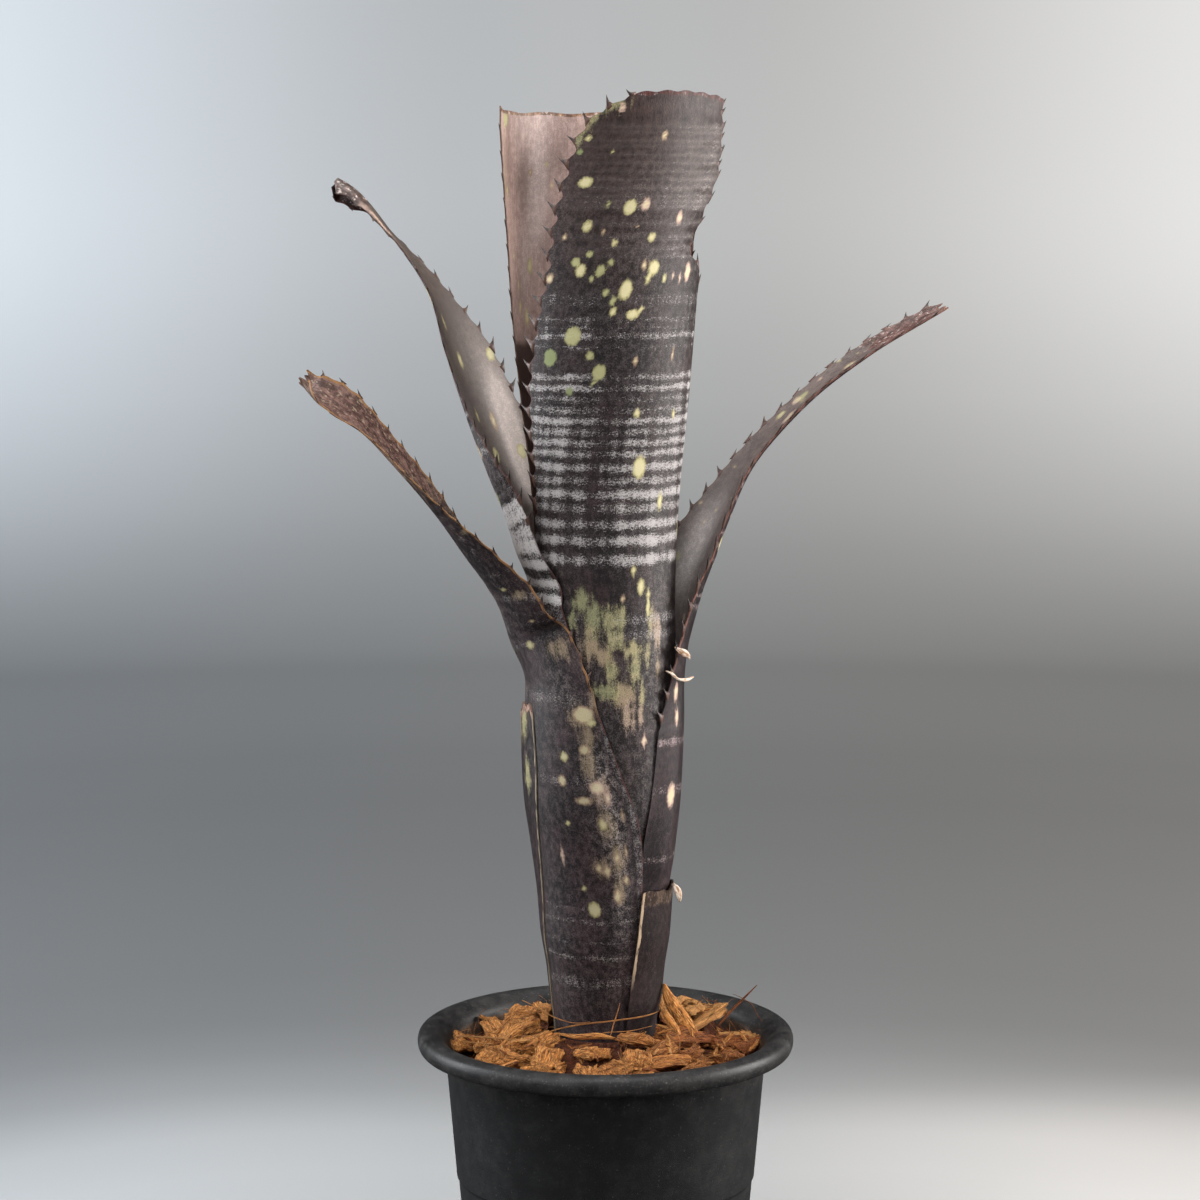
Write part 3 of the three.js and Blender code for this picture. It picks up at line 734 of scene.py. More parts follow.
# %% Spots and bands seen from the front
GREEN, LIME, YELLOW, TAN, PINK = 0.0, 0.2, 0.4, 0.65, 1.0
FRONT_SPOTS = {
    ("leaf_front", "outer"): [
        (589, 138, 3.6, 3.2, YELLOW), (581, 151, 3.2, 3.2, GREEN), (664, 134, 3.6, 5, TAN),
        (613, 152, 1.6, 2, YELLOW), (586, 182, 7, 5.6, YELLOW), (608, 203, 2, 4, LIME),
        (629, 207, 6.4, 8, YELLOW), (646, 204, 4.6, 6.8, PINK), (587, 225, 4.8, 6, YELLOW),
        (679, 219, 4, 7, PINK), (604, 231, 1.8, 3.6, TAN), (564, 237, 2.4, 3.2, TAN),
        (616, 242, 3, 4, YELLOW), (638, 225, 1.6, 2.4, TAN), (652, 238, 4, 5, YELLOW),
        (591, 254, 3.6, 3.6, LIME), (575, 263, 4.4, 5, LIME), (581, 272, 5.2, 6.6, YELLOW),
        (599, 270, 4.4, 6, LIME), (611, 263, 2.8, 3.6, LIME), (590, 279, 2.4, 3.2, LIME),
        (550, 279, 4, 5.6, TAN), (654, 268, 6, 8, YELLOW), (649, 279, 2.8, 6, YELLOW),
        (664, 278, 2.4, 5, YELLOW), (644, 266, 2.8, 6, TAN), (627, 289, 6.4, 10.5, YELLOW),
        (607, 292, 3.2, 4, LIME), (612, 302, 3, 5, LIME), (611, 312, 3.4, 5.2, YELLOW),
        (632, 315, 6.6, 5.4, YELLOW), (643, 308, 2, 3.2, YELLOW), (687, 272, 5, 10, PINK),
        (679, 278, 2, 5, PINK), (674, 276, 1.6, 4, PINK), (572, 337, 8.4, 9.6, LIME),
        (549, 357, 7.2, 9, GREEN), (589, 357, 4, 4.8, LIME), (599, 372, 6.6, 8.2, LIME),
        (568, 392, 4, 4.4, GREEN), (673, 353, 2, 8, TAN), (635, 361, 2.8, 5, TAN),
        (593, 383, 2, 4, LIME), (638, 469, 7, 12, YELLOW), (659, 500, 3.5, 10, YELLOW),
        (639, 414, 3.5, 5, YELLOW), (674, 414, 2.5, 6, YELLOW), (634, 571, 2.5, 5.5, YELLOW),
        (642, 588, 4, 9, YELLOW), (649, 593, 2, 5.5, YELLOW), (648, 608, 2.5, 12.5, YELLOW),
        (621, 598, 2.5, 4.5, TAN), (646, 742, 3, 7, PINK), (622, 108, 3, 5, PINK),
    ],
    ("leaf_left", "inner"): [
        (444, 322, 2, 7, YELLOW), (460, 360, 3.3, 8.5, YELLOW), (490, 355, 5, 7, YELLOW),
        (477, 415, 2.2, 6.5, YELLOW), (494, 420, 3.6, 11, TAN), (487, 446, 2.5, 6, YELLOW),
        (352, 196, 1.6, 22, PINK), (380, 222, 1.6, 30, PINK), (405, 255, 1.6, 26, PINK),
        (496, 455, 4.5, 8, YELLOW), (521, 452, 5.5, 8.5, YELLOW), (507, 477, 2, 5, YELLOW),
    ],
    ("leaf_back", "inner"): [
        (530, 173, 3.2, 4.4, TAN), (548, 163, 2, 3.2, YELLOW), (531, 267, 4.4, 9, YELLOW),
        (520, 306, 2.8, 7, YELLOW), (526, 318, 4, 10, YELLOW), (519, 286, 2.4, 6, YELLOW),
        (512, 238, 1.6, 5, TAN), (550, 186, 3, 5, PINK), (506, 121, 6, 6, LIME),
        (504, 140, 2, 9, TAN), (507, 190, 2.5, 7, YELLOW), (510, 215, 2, 5, TAN),
        (514, 255, 2, 6, YELLOW),
    ],
    ("leaf_front_left", "outer"): [
        (530, 645, 5.5, 4, YELLOW), (504, 590, 4, 2, YELLOW), (531, 621, 4, 2.5, TAN),
        (562, 757, 4.5, 5.5, YELLOW), (562, 780, 5, 6.3, TAN), (582, 802, 9, 4.5, TAN),
        (595, 789, 8, 6.5, PINK), (582, 715, 11, 9, TAN), (591, 724, 5, 4, YELLOW),
        (584, 749, 6, 5.5, TAN), (568, 822, 3, 3, YELLOW), (600, 869, 3.5, 5, TAN),
        (606, 872, 4, 6.5, TAN), (561, 856, 2.5, 9, PINK), (582, 889, 2.5, 3, YELLOW),
        (595, 909, 6.5, 8.5, YELLOW), (619, 897, 4.5, 9, TAN), (602, 826, 4, 6, YELLOW),
        (616, 857, 3, 6, TAN), (607, 799, 3, 9.5, PINK), (624, 815, 2, 7, TAN),
        (625, 852, 2, 7.5, TAN), (626, 880, 3.5, 6, TAN),
    ],
    ("leaf_right", "outer"): [
        (670, 795, 5.5, 13, PINK), (678, 717, 3, 10, PINK), (676, 691, 4, 10, PINK),
    ],
    ("leaf_right", "inner"): [
        (735, 466, 3, 2, TAN), (717, 509, 2.5, 4, TAN), (703, 523, 2.5, 4.5, TAN),
        (699, 549, 2, 3, TAN), (701, 502, 3, 3, TAN), (780, 416, 4, 6, YELLOW),
        (797, 400, 5, 6, PINK), (838, 360, 4, 3, YELLOW),
    ],
}
# Soft patches where the dark pigment thins out in streaks: place, half width and height, tint
FRONT_PATCHES = {
    ("leaf_front", "outer"): [
        (583, 600, 10, 12, GREEN), (591, 618, 9, 16, GREEN), (573, 620, 5, 10, GREEN),
        (592, 645, 9, 18, TAN), (612, 622, 7, 13, LIME), (621, 618, 5, 13, LIME),
        (617, 640, 9, 13, LIME), (604, 655, 10, 10, TAN), (632, 650, 9, 9, YELLOW),
        (613, 672, 7, 11, LIME), (636, 668, 6, 17, LIME), (604, 690, 13, 9, GREEN),
        (625, 697, 12, 14, TAN), (630, 716, 7, 16, PINK), (641, 695, 4, 15, YELLOW),
        (650, 622, 4, 18, YELLOW), (656, 632, 6, 20, PINK), (650, 655, 4, 16, YELLOW),
        (657, 665, 3, 16, TAN), (640, 716, 3, 13, PINK), (592, 112, 6, 6, LIME),
        (586, 124, 5, 12, YELLOW), (604, 101, 14, 5, LIME), (580, 138, 4, 9, LIME),
    ],
    ("leaf_front_left", "outer"): [
        (582, 716, 13, 12, TAN), (588, 736, 9, 12, TAN), (590, 765, 9, 16, TAN),
        (600, 792, 10, 16, PINK), (608, 825, 9, 18, TAN), (616, 858, 8, 16, TAN),
        (604, 868, 8, 12, TAN), (622, 890, 6, 16, TAN), (598, 700, 7, 12, TAN),
        (560, 648, 12, 8, TAN), (520, 596, 10, 4, TAN), (470, 528, 14, 4, TAN),
        (425, 478, 14, 5, YELLOW), (385, 432, 14, 6, TAN), (350, 402, 12, 7, TAN),
    ],
    ("leaf_front_left", "inner"): [
        (470, 515, 10, 3, TAN), (430, 475, 12, 4, TAN), (390, 425, 14, 6, TAN),
        (350, 395, 12, 7, YELLOW), (325, 385, 9, 5, TAN), (410, 460, 9, 5, PINK),
    ],
    ("leaf_back", "inner"): [(506, 118, 8, 8, LIME), (505, 175, 4, 30, TAN)],
    ("stub_left", "outer"): [
        (524, 715, 9, 20, LIME), (526, 745, 9, 22, YELLOW), (527, 775, 7, 18, LIME),
        (520, 730, 6, 20, PINK),
    ],
    ("leaf_right", "inner"): [
        (925, 315, 10, 4, TAN), (880, 338, 12, 3, YELLOW), (800, 400, 10, 4, YELLOW),
    ],
}
# How thick the pale scales lie, with painted light and shade laid into the same amount: the face's
# usual share, and places with more or less
USUAL_DUST = 0.8
FRONT_SCALES_AND_LIGHT = {
    ("leaf_front", "outer"): (USUAL_DUST, [
        (640, 130, 90, 50, -0.75), (585, 240, 30, 120, -0.5), (600, 590, 45, 25, -0.5),
        (655, 640, 20, 90, 0.6), (640, 760, 14, 60, 0.1), (600, 470, 22, 110, -0.5),
        (675, 420, 14, 130, 0.5), (548, 470, 12, 90, 0.5),
    ]),
    ("leaf_front_left", "outer"): (0.25, [
        (600, 775, 12, 26, 1.3), (612, 815, 10, 26, 1.0), (620, 850, 9, 34, 1.2),
        (606, 835, 14, 24, 0.5), (622, 905, 8, 40, 0.8), (470, 545, 14, 30, 1.5),
        (500, 610, 12, 34, 0.9), (520, 680, 14, 26, 0.8), (545, 915, 12, 40, 0.4),
        (440, 500, 22, 8, 1.0), (560, 690, 14, 16, 0.4),
    ]),
    ("leaf_right", "outer"): (0.3, [(685, 610, 12, 40, 0.6)]),
    ("leaf_left", "outer"): (0.9, [(520, 520, 20, 60, 0.8), (550, 600, 16, 30, 0.6)]),
    ("stub_left", "outer"): (0.3, []),
    ("leaf_left", "inner"): (0.14, [
        (512, 430, 14, 60, 2.2), (500, 400, 16, 30, 0.9), (522, 470, 10, 40, 1.6),
        (400, 250, 8, 14, 0.8), (480, 350, 16, 40, 0.3),
    ]),
    ("leaf_back", "inner"): (0.4, [
        (537, 205, 13, 45, 2.4), (525, 265, 8, 40, 1.2), (540, 150, 16, 40, 0.7),
        (508, 130, 6, 80, -0.4),
    ]),
    ("leaf_right", "inner"): (0.25, [(688, 565, 16, 50, 2.0), (700, 530, 14, 30, 0.8)]),
}
# Cross bands: where a group crosses, the share it fades by to the left, and for each band its
# height in the picture, strength and half height
FRONT_BANDS = {
    "leaf_front": [
        (600, 0.3, [(297, 0.35, 3), (304, 0.35, 2.5)]),
        (600, 0, [
            (320, 0.4, 2.5), (328, 0.35, 2), (338, 0.6, 3), (347, 0.35, 2), (379, 0.6, 3),
            (390, 0.7, 3), (400, 0.45, 3), (411, 0.5, 3.5), (422, 0.75, 3.5), (433, 0.6, 3.5),
            (444, 0.7, 3.5), (455, 0.7, 3.5), (467, 0.75, 4), (481, 0.6, 4), (495, 0.8, 4.5),
            (510, 0.6, 4.5), (526, 0.75, 4.5), (543, 0.8, 5), (560, 0.75, 5),
        ]),
        (690, 1, [
            (128, 0.45, 2), (134, 0.4, 2), (141, 0.5, 2), (148, 0.45, 2), (156, 0.5, 2),
            (164, 0.5, 2), (172, 0.5, 2), (180, 0.55, 2), (189, 0.65, 2.4), (195, 0.6, 2.2),
            (201, 0.6, 2.2), (207, 0.65, 2.2),
        ]),
        (670, 1, [(224, 0.5, 2.2), (238, 0.55, 2.4), (247, 0.55, 2.4), (256, 0.5, 2.2)]),
        (650, 1, [(618, 0.5, 5), (636, 0.45, 5)]),
    ],
    "leaf_left": [
        (520, 0, [(500, 0.8, 4)]), (524, 0, [(513, 0.9, 4.5)]), (528, 0, [(531, 0.85, 4)]),
        (532, 0, [(548, 0.95, 5)]), (538, 0, [(564, 0.95, 5)]), (545, 0, [(583, 0.9, 5)]),
        (552, 0, [(601, 0.9, 4.5)]),
    ],
    "leaf_front_left": [
        (520, 0, [(690, 0.4, 6)]),
        (560, 0, [
            (905, 0.3, 2), (918, 0.4, 2.5), (940, 0.3, 2), (955, 0.45, 2.5), (980, 0.35, 5),
            (780, 0.35, 4),
        ]),
    ],
    "leaf_right": [(670, 0, [(790, 0.4, 5), (742, 0.5, 4)]), (668, 0, [(858, 0.4, 3)])],
}
# Where a leaf's bands grow faint: a place in the strip, its half width in mm, and the share lost
FAINT_STRIPS = {"leaf_front": (602, 470, 8.0, 0.42)}
# Bands on the parts that the front doesn't show: along the leaf from, to, strength
HIDDEN_BANDS = {
    "leaf_back": (95, 285, 0.8),
    "leaf_left": (200, 290, 0.7),
    "leaf_right": (150, 290, 0.6),
    "leaf_front_left": (140, 210, 0.4),
}
HIDDEN_STRENGTH = (0.5, 1.1)
HIDDEN_HALF_HEIGHT = (0.8, 1.5)
HIDDEN_STEP = (3.2, 6.0)
SPOT_SEED = 7
FAR_FROM_SPOTS = 9.0
PREFER_NEAR = 0.02
PATCH_FALL = 0.7
# How the bands waver: height in mm, and radians to a mm across and along the leaf
BAND_WAVES = [(0.22, 0.31, 0.37), (0.12, 1.1, -0.71)]
FADE_LEAST, FADE_RATE, FADE_FROM = 0.15, 1.8, 0.35


def point_seen_at(field, side, x, y):
    """The nearest of a blade's points to a place in the front picture, in the blade's terms."""
    seen = front_view(field[side])
    miss = np.hypot(seen[..., 0] - x, seen[..., 1] - y) + PREFER_NEAR * field[side][..., 1]
    at = np.unravel_index(np.argmin(miss), miss.shape)
    return field["across"][at], field["along"][at]


def reach_from(field, across, along, half_width, half_height):
    """How far every point lies from a mark's middle, in the mark's own half sizes."""
    return np.hypot((field["across"] - across) / half_width, (field["along"] - along) / half_height)


def spot_fields(field, spots):
    """Millimetres to the nearest spot's border, negative inside it, and that spot's tint."""
    nearest = np.full(field["across"].shape, FAR_FROM_SPOTS)
    tint = np.zeros(field["across"].shape)
    for *mark, colour in spots:
        distance = (reach_from(field, *mark) - 1) * min(mark[2:])
        tint = np.where(distance < nearest, colour, tint)
        nearest = np.minimum(distance, nearest)
    return nearest, tint


def patch_fields(field, patches):
    """The strongest soft patch at every point, and the tints there, each by its share."""
    amount = np.zeros(field["across"].shape)
    tint = np.zeros(field["across"].shape)
    weight = np.full(field["across"].shape, TINY)
    for *mark, colour in patches:
        here = np.exp(-PATCH_FALL * reach_from(field, *mark) ** 2)
        tint += here**2 * colour
        weight += here**2
        amount = np.maximum(amount, here)
    return amount, tint / weight


def scales_and_light_field(field, usual, patches):
    dust = np.full(field["across"].shape, usual)
    for *mark, change in patches:
        dust += change * np.exp(-reach_from(field, *mark) ** 2)
    return np.clip(dust, 0, 2)


def band_field(field, bands):
    """Cross bands that waver a little over the leaf's width."""
    strength = np.zeros(field["across"].shape)
    waver = 0
    for high, turn, climb in BAND_WAVES:
        waver = waver + high * np.sin(turn * field["across"] + climb * field["along"])
    share = (field["across"] / np.abs(field["across"]).max() + 1) / 2
    for along, strong, half_height, fade in bands:
        fall = np.exp(-(np.abs((field["along"] + waver - along) / half_height) ** 3))
        reach = np.clip(1 - fade * (FADE_LEAST + FADE_RATE * (share - FADE_FROM)), 0, 1)
        strength = np.maximum(strength, strong * fall * reach)
    return strength


def stray_spots(rng, field, side, count):
    """Small spots at random places, but none on outer faces that look towards the front."""
    spots = []
    rows, columns = field["across"].shape
    while len(spots) < count:
        at = (rng.integers(rows // 4, rows - 3), rng.integers(2, columns - 2))
        tint = rng.choice([LIME, YELLOW, YELLOW, TAN, PINK])
        half = rng.uniform(*STRAY_HALF_WIDTH)
        long = half * rng.uniform(*STRAY_STRETCH)
        if side == "outer" and field[side][at][1] < KEEP_CLEAR_Y:
            continue
        spots.append((field["across"][at], field["along"][at], half, long, tint))
    return spots


MM_PER_PIXEL = 0.31
STRAY_SPOTS = 26
STRAY_HALF_WIDTH = (0.3, 1.5)
STRAY_STRETCH = (1.1, 2.2)
KEEP_CLEAR_Y = 2.0
HAND_DRAWN_FACES = [("leaf_left", "inner"), ("leaf_back", "inner"), ("leaf_front_left", "inner")]
BAND_STRENGTH = 1.15
BAND_SPREAD = 1.3
INNER_BANDS = 0.25
# Height up to which the inner faces carry painted shade, deep inside the tube
PAINTED_SHADE_LEVEL = {"leaf_back": 327, "leaf_right": 202, "leaf_left": 245}
LOW_PAINTED_SHADE = 190
PAINTED_SHADE_FADE = 8.0


def on_leaf(field, side, marks):
    """Marks given in pixels of the front picture, in millimetres over the leaf."""
    placed = []
    for x, y, *half_sizes, value in marks:
        half_sizes = [size * MM_PER_PIXEL for size in half_sizes]
        placed.append((*point_seen_at(field, side, x, y), *half_sizes, value))
    return placed


def all_bands(name, field, rng):
    bands = []
    for x, fade, group in FRONT_BANDS.get(name, []):
        for y, strong, half_height in group:
            along = point_seen_at(field, "outer", x, y)[1]
            half_height *= BAND_SPREAD * MM_PER_PIXEL
            bands.append((along, BAND_STRENGTH * strong, half_height, fade))
    if name in HIDDEN_BANDS:
        start, stop, strong = HIDDEN_BANDS[name]
        while start < stop:
            strength = strong * rng.uniform(*HIDDEN_STRENGTH)
            bands.append((start, strength, rng.uniform(*HIDDEN_HALF_HEIGHT), 0))
            start += rng.uniform(*HIDDEN_STEP)
    return bands


def mark_blade(name, piece, field, rng):
    fields = {"spot": [], "tint": [], "patch": [], "patch_tint": [], "dust": []}
    for side in ("outer", "inner"):
        spots = on_leaf(field, side, FRONT_SPOTS.get((name, side), []))
        bare = name.startswith("stub") or (name, side) in HAND_DRAWN_FACES
        spots += stray_spots(rng, field, side, 0 if bare else STRAY_SPOTS)
        patches = on_leaf(field, side, FRONT_PATCHES.get((name, side), []))
        # The scales' amount also carries painted light and shade, which make places lighter or darker.
        usual, scale_and_light_marks = FRONT_SCALES_AND_LIGHT.get((name, side), (USUAL_DUST, []))
        dust = scales_and_light_field(field, usual, on_leaf(field, side, scale_and_light_marks))
        found = [*spot_fields(field, spots), *patch_fields(field, patches), dust]
        for key, values in zip(fields, found):
            fields[key].append(values)
    band = band_field(field, all_bands(name, field, rng))
    if name in FAINT_STRIPS:
        x, y, half_width, lost = FAINT_STRIPS[name]
        off = field["across"] - point_seen_at(field, "outer", x, y)[0]
        band *= 1 - lost * np.exp(-((off / half_width) ** 2))
    # Painted shade on the inner faces, below each leaf's level in the tube.
    cup = np.clip((PAINTED_SHADE_LEVEL.get(name, LOW_PAINTED_SHADE) - field["inner"][..., 2]) / PAINTED_SHADE_FADE, 0, 1)
    tip = field["along"].max() - field["along"]
    fields.update(band=[band, INNER_BANDS * band], cup=[0 * cup, cup], tip=[tip, tip])
    for key, values in fields.items():
        store(piece.data, key, np.stack(values))


for leaf_number, (leaf_name, (blade, blade_field, _)) in enumerate(BLADES.items()):
    mark_blade(leaf_name, blade, blade_field, np.random.default_rng(SPOT_SEED + leaf_number))
print("spots described:", sum(len(spots) for spots in FRONT_SPOTS.values()))

# %% [markdown]
# ## Leaf skin
# Billbergia skin is a dark waxy green-purple under minute pale scales. The scales are dense in
# the cross bands and thin elsewhere. Spots are patches without the dark pigment. One shader
# group draws all of this from the stored attributes, and each leaf's two faces use it with their
# own colours. The lengthwise veins give a fine bump. The stored amount of scales also carries
# painted light and shade in places, and painted shade darkens the inner faces deep in the tube.

# %% Leaf skin group
SKIN_INPUTS = [
    ("Ground", "Color", (0.03, 0.02, 0.022)),
    ("Deep", "Color", (0.012, 0.012, 0.012)),
    ("Bloom", "Color", (0.35, 0.32, 0.32)),
    ("Bloom Amount", "Float", 0.3),
    ("Fleck", "Float", 1.0),
    ("Band Gain", "Float", 1.0),
    ("Rim", "Color", (0.1, 0.05, 0.03)),
    ("Rim Width", "Float", 0.5),
    ("Rim Length", "Float", 400.0),
    ("Spot Strength", "Float", 0.92),
    ("Brown", "Color", (0.13, 0.085, 0.07)),
    ("Brown Length", "Float", 0.0),
    ("Dry", "Color", (0.35, 0.2, 0.12)),
    ("Dry Length", "Float", 1.0),
    ("Vein", "Float", 0.25),
    ("Dull", "Float", 0.45),
]
SKIN_OUTPUTS = [("Color", "Color"), ("Roughness", "Float"), ("Height", "Float")]
# The filter for the painted shade on the inner faces deep in the tube.
PAINTED_SHADE_FILTER = (0.10, 0.08, 0.07)
SPOT_GREEN = (0.22, 0.25, 0.11)
SPOT_YELLOW = (0.45, 0.40, 0.19)
SPOT_TAN = (0.34, 0.235, 0.15)
SPOT_PINK = (0.50, 0.34, 0.27)
SPOT_HEART = (0.66, 0.60, 0.36)
PATCH_PALE = (0.34, 0.29, 0.19)


def shaken(tree, value, shake, amount):
    """A value moved up and down by a noise."""
    return scaled(tree, calc(tree, "SUBTRACT", shake, 0.5), amount, value)


def tint_colours(tree, tint):
    colour = blend_colours(tree, ramp_up(tree, tint, 0.0, 0.4), SPOT_GREEN, SPOT_YELLOW)
    colour = blend_colours(tree, ramp_up(tree, tint, 0.4, 0.65), colour, SPOT_TAN)
    return blend_colours(tree, ramp_up(tree, tint, 0.7, 1.0), colour, SPOT_PINK)


def leaf_skin_group():
    tree, given, result = new_group("leaf skin", "ShaderNodeTree", SKIN_INPUTS, SKIN_OUTPUTS)
    place = stored(tree, "leaf_place", "Vector")

    def pattern(across, along, detail=3, roughness=0.6):
        """A noise whose grain is that many to a millimetre across and along the leaf."""
        return noise(tree, stretched(tree, place, (across, along, 1)), 1, detail, roughness)

    veins = pattern(1.4, 0.05)
    clouds = pattern(0.09, 0.05)
    mottle = pattern(0.55, 0.4, 5, 0.72)
    grain = pattern(2.6, 2.0, 3, 0.8)
    dashes = pattern(0.9, 1.7, 4, 0.75)
    columns = pattern(0.24, 0.02)
    streaks = pattern(0.5, 0.09, 4, 0.7)

    lit = ramp_up(tree, shaken(tree, clouds, mottle, 1.1), 0.30, 0.74)
    ground = blend_colours(tree, lit, given["Deep"], given["Ground"])
    tip = stored(tree, "tip")
    browned = scaled(tree, clouds, 30, tip)
    browned = calc(tree, "SUBTRACT", given["Brown Length"], browned)
    browned = product(tree, ramp_up(tree, browned, -25, 30), 0.85)
    brown = blend_colours(tree, ramp_up(tree, mottle, 0.25, 0.80), ground, given["Brown"])
    ground = blend_colours(tree, browned, ground, brown)
    lifted = filtered(tree, ground, (1.7, 1.55, 1.6))
    lifted_share = product(tree, ramp_up(tree, veins, 0.40, 0.75), given["Vein"])
    ground = blend_colours(tree, lifted_share, ground, lifted)
    pitted = filtered(tree, ground, (0.45, 0.42, 0.42))
    ground = blend_colours(tree, ramp_up(tree, grain, 0.47, 0.30), ground, pitted)

    # The stored dust is the pale scales' amount together with painted light and shade.
    dust = product(tree, stored(tree, "dust"), given["Bloom Amount"])
    flecks = shaken(tree, grain, mottle, 0.8)
    flecked = calc(tree, "SUBTRACT", ramp_up(tree, flecks, 0.44, 0.68), 0.6)
    flecked = scaled(tree, flecked, given["Fleck"], 0.6)
    scales_and_light_share = calc(tree, "MULTIPLY", flecked, dust, clamp=True)
    colour = blend_colours(tree, scales_and_light_share, ground, given["Bloom"])

    patch = shaken(tree, stored(tree, "patch"), streaks, 1.5)
    patch = shaken(tree, shaken(tree, patch, mottle, 1.1), grain, 0.8)
    patched = product(tree, ramp_up(tree, patch, 0.30, 0.95), given["Spot Strength"])
    patched = product(tree, patched, 0.85)
    patch_tint = shaken(tree, stored(tree, "patch_tint"), mottle, 1.1)
    patch_colour = blend_colours(tree, 0.4, tint_colours(tree, patch_tint), PATCH_PALE)
    pits = product(tree, ramp_up(tree, grain, 0.54, 0.30), 0.6)
    patch_colour = blend_colours(tree, pits, patch_colour, given["Ground"])
    colour = blend_colours(tree, patched, colour, patch_colour)

    band = stored(tree, "band")
    ragged = shaken(tree, product(tree, band, 1.02), dashes, 2.1)
    ragged = shaken(tree, shaken(tree, ragged, grain, 1.9), columns, 1.5)
    banded = product(tree, ramp_up(tree, ragged, 0.38, 1.05), given["Band Gain"])
    banded = product(tree, banded, ramp_up(tree, band, 0.02, 0.25))
    soft_band = product(tree, browned, ramp_up(tree, dashes, 0.2, 0.6))
    soft_band = product(tree, product(tree, band, soft_band), 0.75)
    banded = calc(tree, "MAXIMUM", banded, soft_band)
    band_colour = filtered(tree, given["Bloom"], (0.66, 0.59, 0.56))
    band_colour = blend_colours(tree, browned, given["Bloom"], band_colour)
    colour = blend_colours(tree, banded, colour, band_colour)

    border = shaken(tree, stored(tree, "spot"), pattern(1.1, 0.7), 1.3)
    tint = stored(tree, "tint")
    heart = product(tree, ramp_up(tree, border, -0.15, -0.9), ramp_up(tree, tint, 0.1, 0.4))
    heart = product(tree, heart, 0.75)
    spot_colour = blend_colours(tree, heart, tint_colours(tree, tint), SPOT_HEART)
    spotted = product(tree, ramp_up(tree, border, 0.40, -0.45), given["Spot Strength"])
    colour = blend_colours(tree, spotted, colour, spot_colour)

    worn = pattern(0.35, 0.16, 4, 0.65)
    dried = calc(tree, "DIVIDE", tip, given["Dry Length"])
    dried = ramp_up(tree, shaken(tree, dried, worn, 0.9), 1.05, 0.75)
    dry_dark = filtered(tree, given["Dry"], (0.30, 0.26, 0.25))
    dry_light = ramp_up(tree, shaken(tree, mottle, streaks, 0.7), 0.40, 0.66)
    dry_colour = blend_colours(tree, dry_light, dry_dark, given["Dry"])
    specks = product(tree, ramp_up(tree, pattern(0.8, 0.5, 4), 0.56, 0.66), 0.6)
    dry_colour = blend_colours(tree, specks, dry_colour, given["Bloom"])
    colour = blend_colours(tree, dried, colour, dry_colour)

    # Painted shade on the inner faces, deep in the tube.
    deep_shade_share = ramp_up(tree, shaken(tree, stored(tree, "cup"), worn, 0.5), 0.25, 0.75)
    deep_shade_colour = filtered(tree, colour, PAINTED_SHADE_FILTER)
    colour = blend_colours(tree, product(tree, deep_shade_share, 0.93), colour, deep_shade_colour)

    width = product(tree, given["Rim Width"], product(tree, worn, 1.6))
    rimmed = calc(tree, "LESS_THAN", stored(tree, "margin"), width)
    unbroken = scaled(tree, given["Rim Width"], 0.08, pattern(0.5, 0.2))
    rimmed = product(tree, rimmed, ramp_up(tree, unbroken, 0.42, 0.58))
    beyond = calc(tree, "SUBTRACT", tip, given["Rim Length"])
    rimmed = product(tree, rimmed, ramp_up(tree, beyond, 8, -8))
    colour = blend_colours(tree, product(tree, rimmed, 0.85), colour, given["Rim"])

    rough = scaled(tree, banded, 0.2, given["Dull"])
    rough = shaken(tree, rough, grain, 0.25)
    height = scaled(tree, product(tree, veins, given["Vein"]), 1.6, grain)
    height = scaled(tree, mottle, 0.8, height)
    height = scaled(tree, banded, 0.3, height)
    tree.links.new(colour, result.inputs["Color"])
    tree.links.new(rough, result.inputs["Roughness"])
    tree.links.new(height, result.inputs["Height"])
    return tree


leaf_skin = leaf_skin_group()
print("leaf skin:", len(leaf_skin.nodes), "nodes")

# %% [markdown]
# The outer faces are the darkest and carry the bands. The inner faces are smoother and show
# the pink-brown of the pigment. The old stubs shine least.

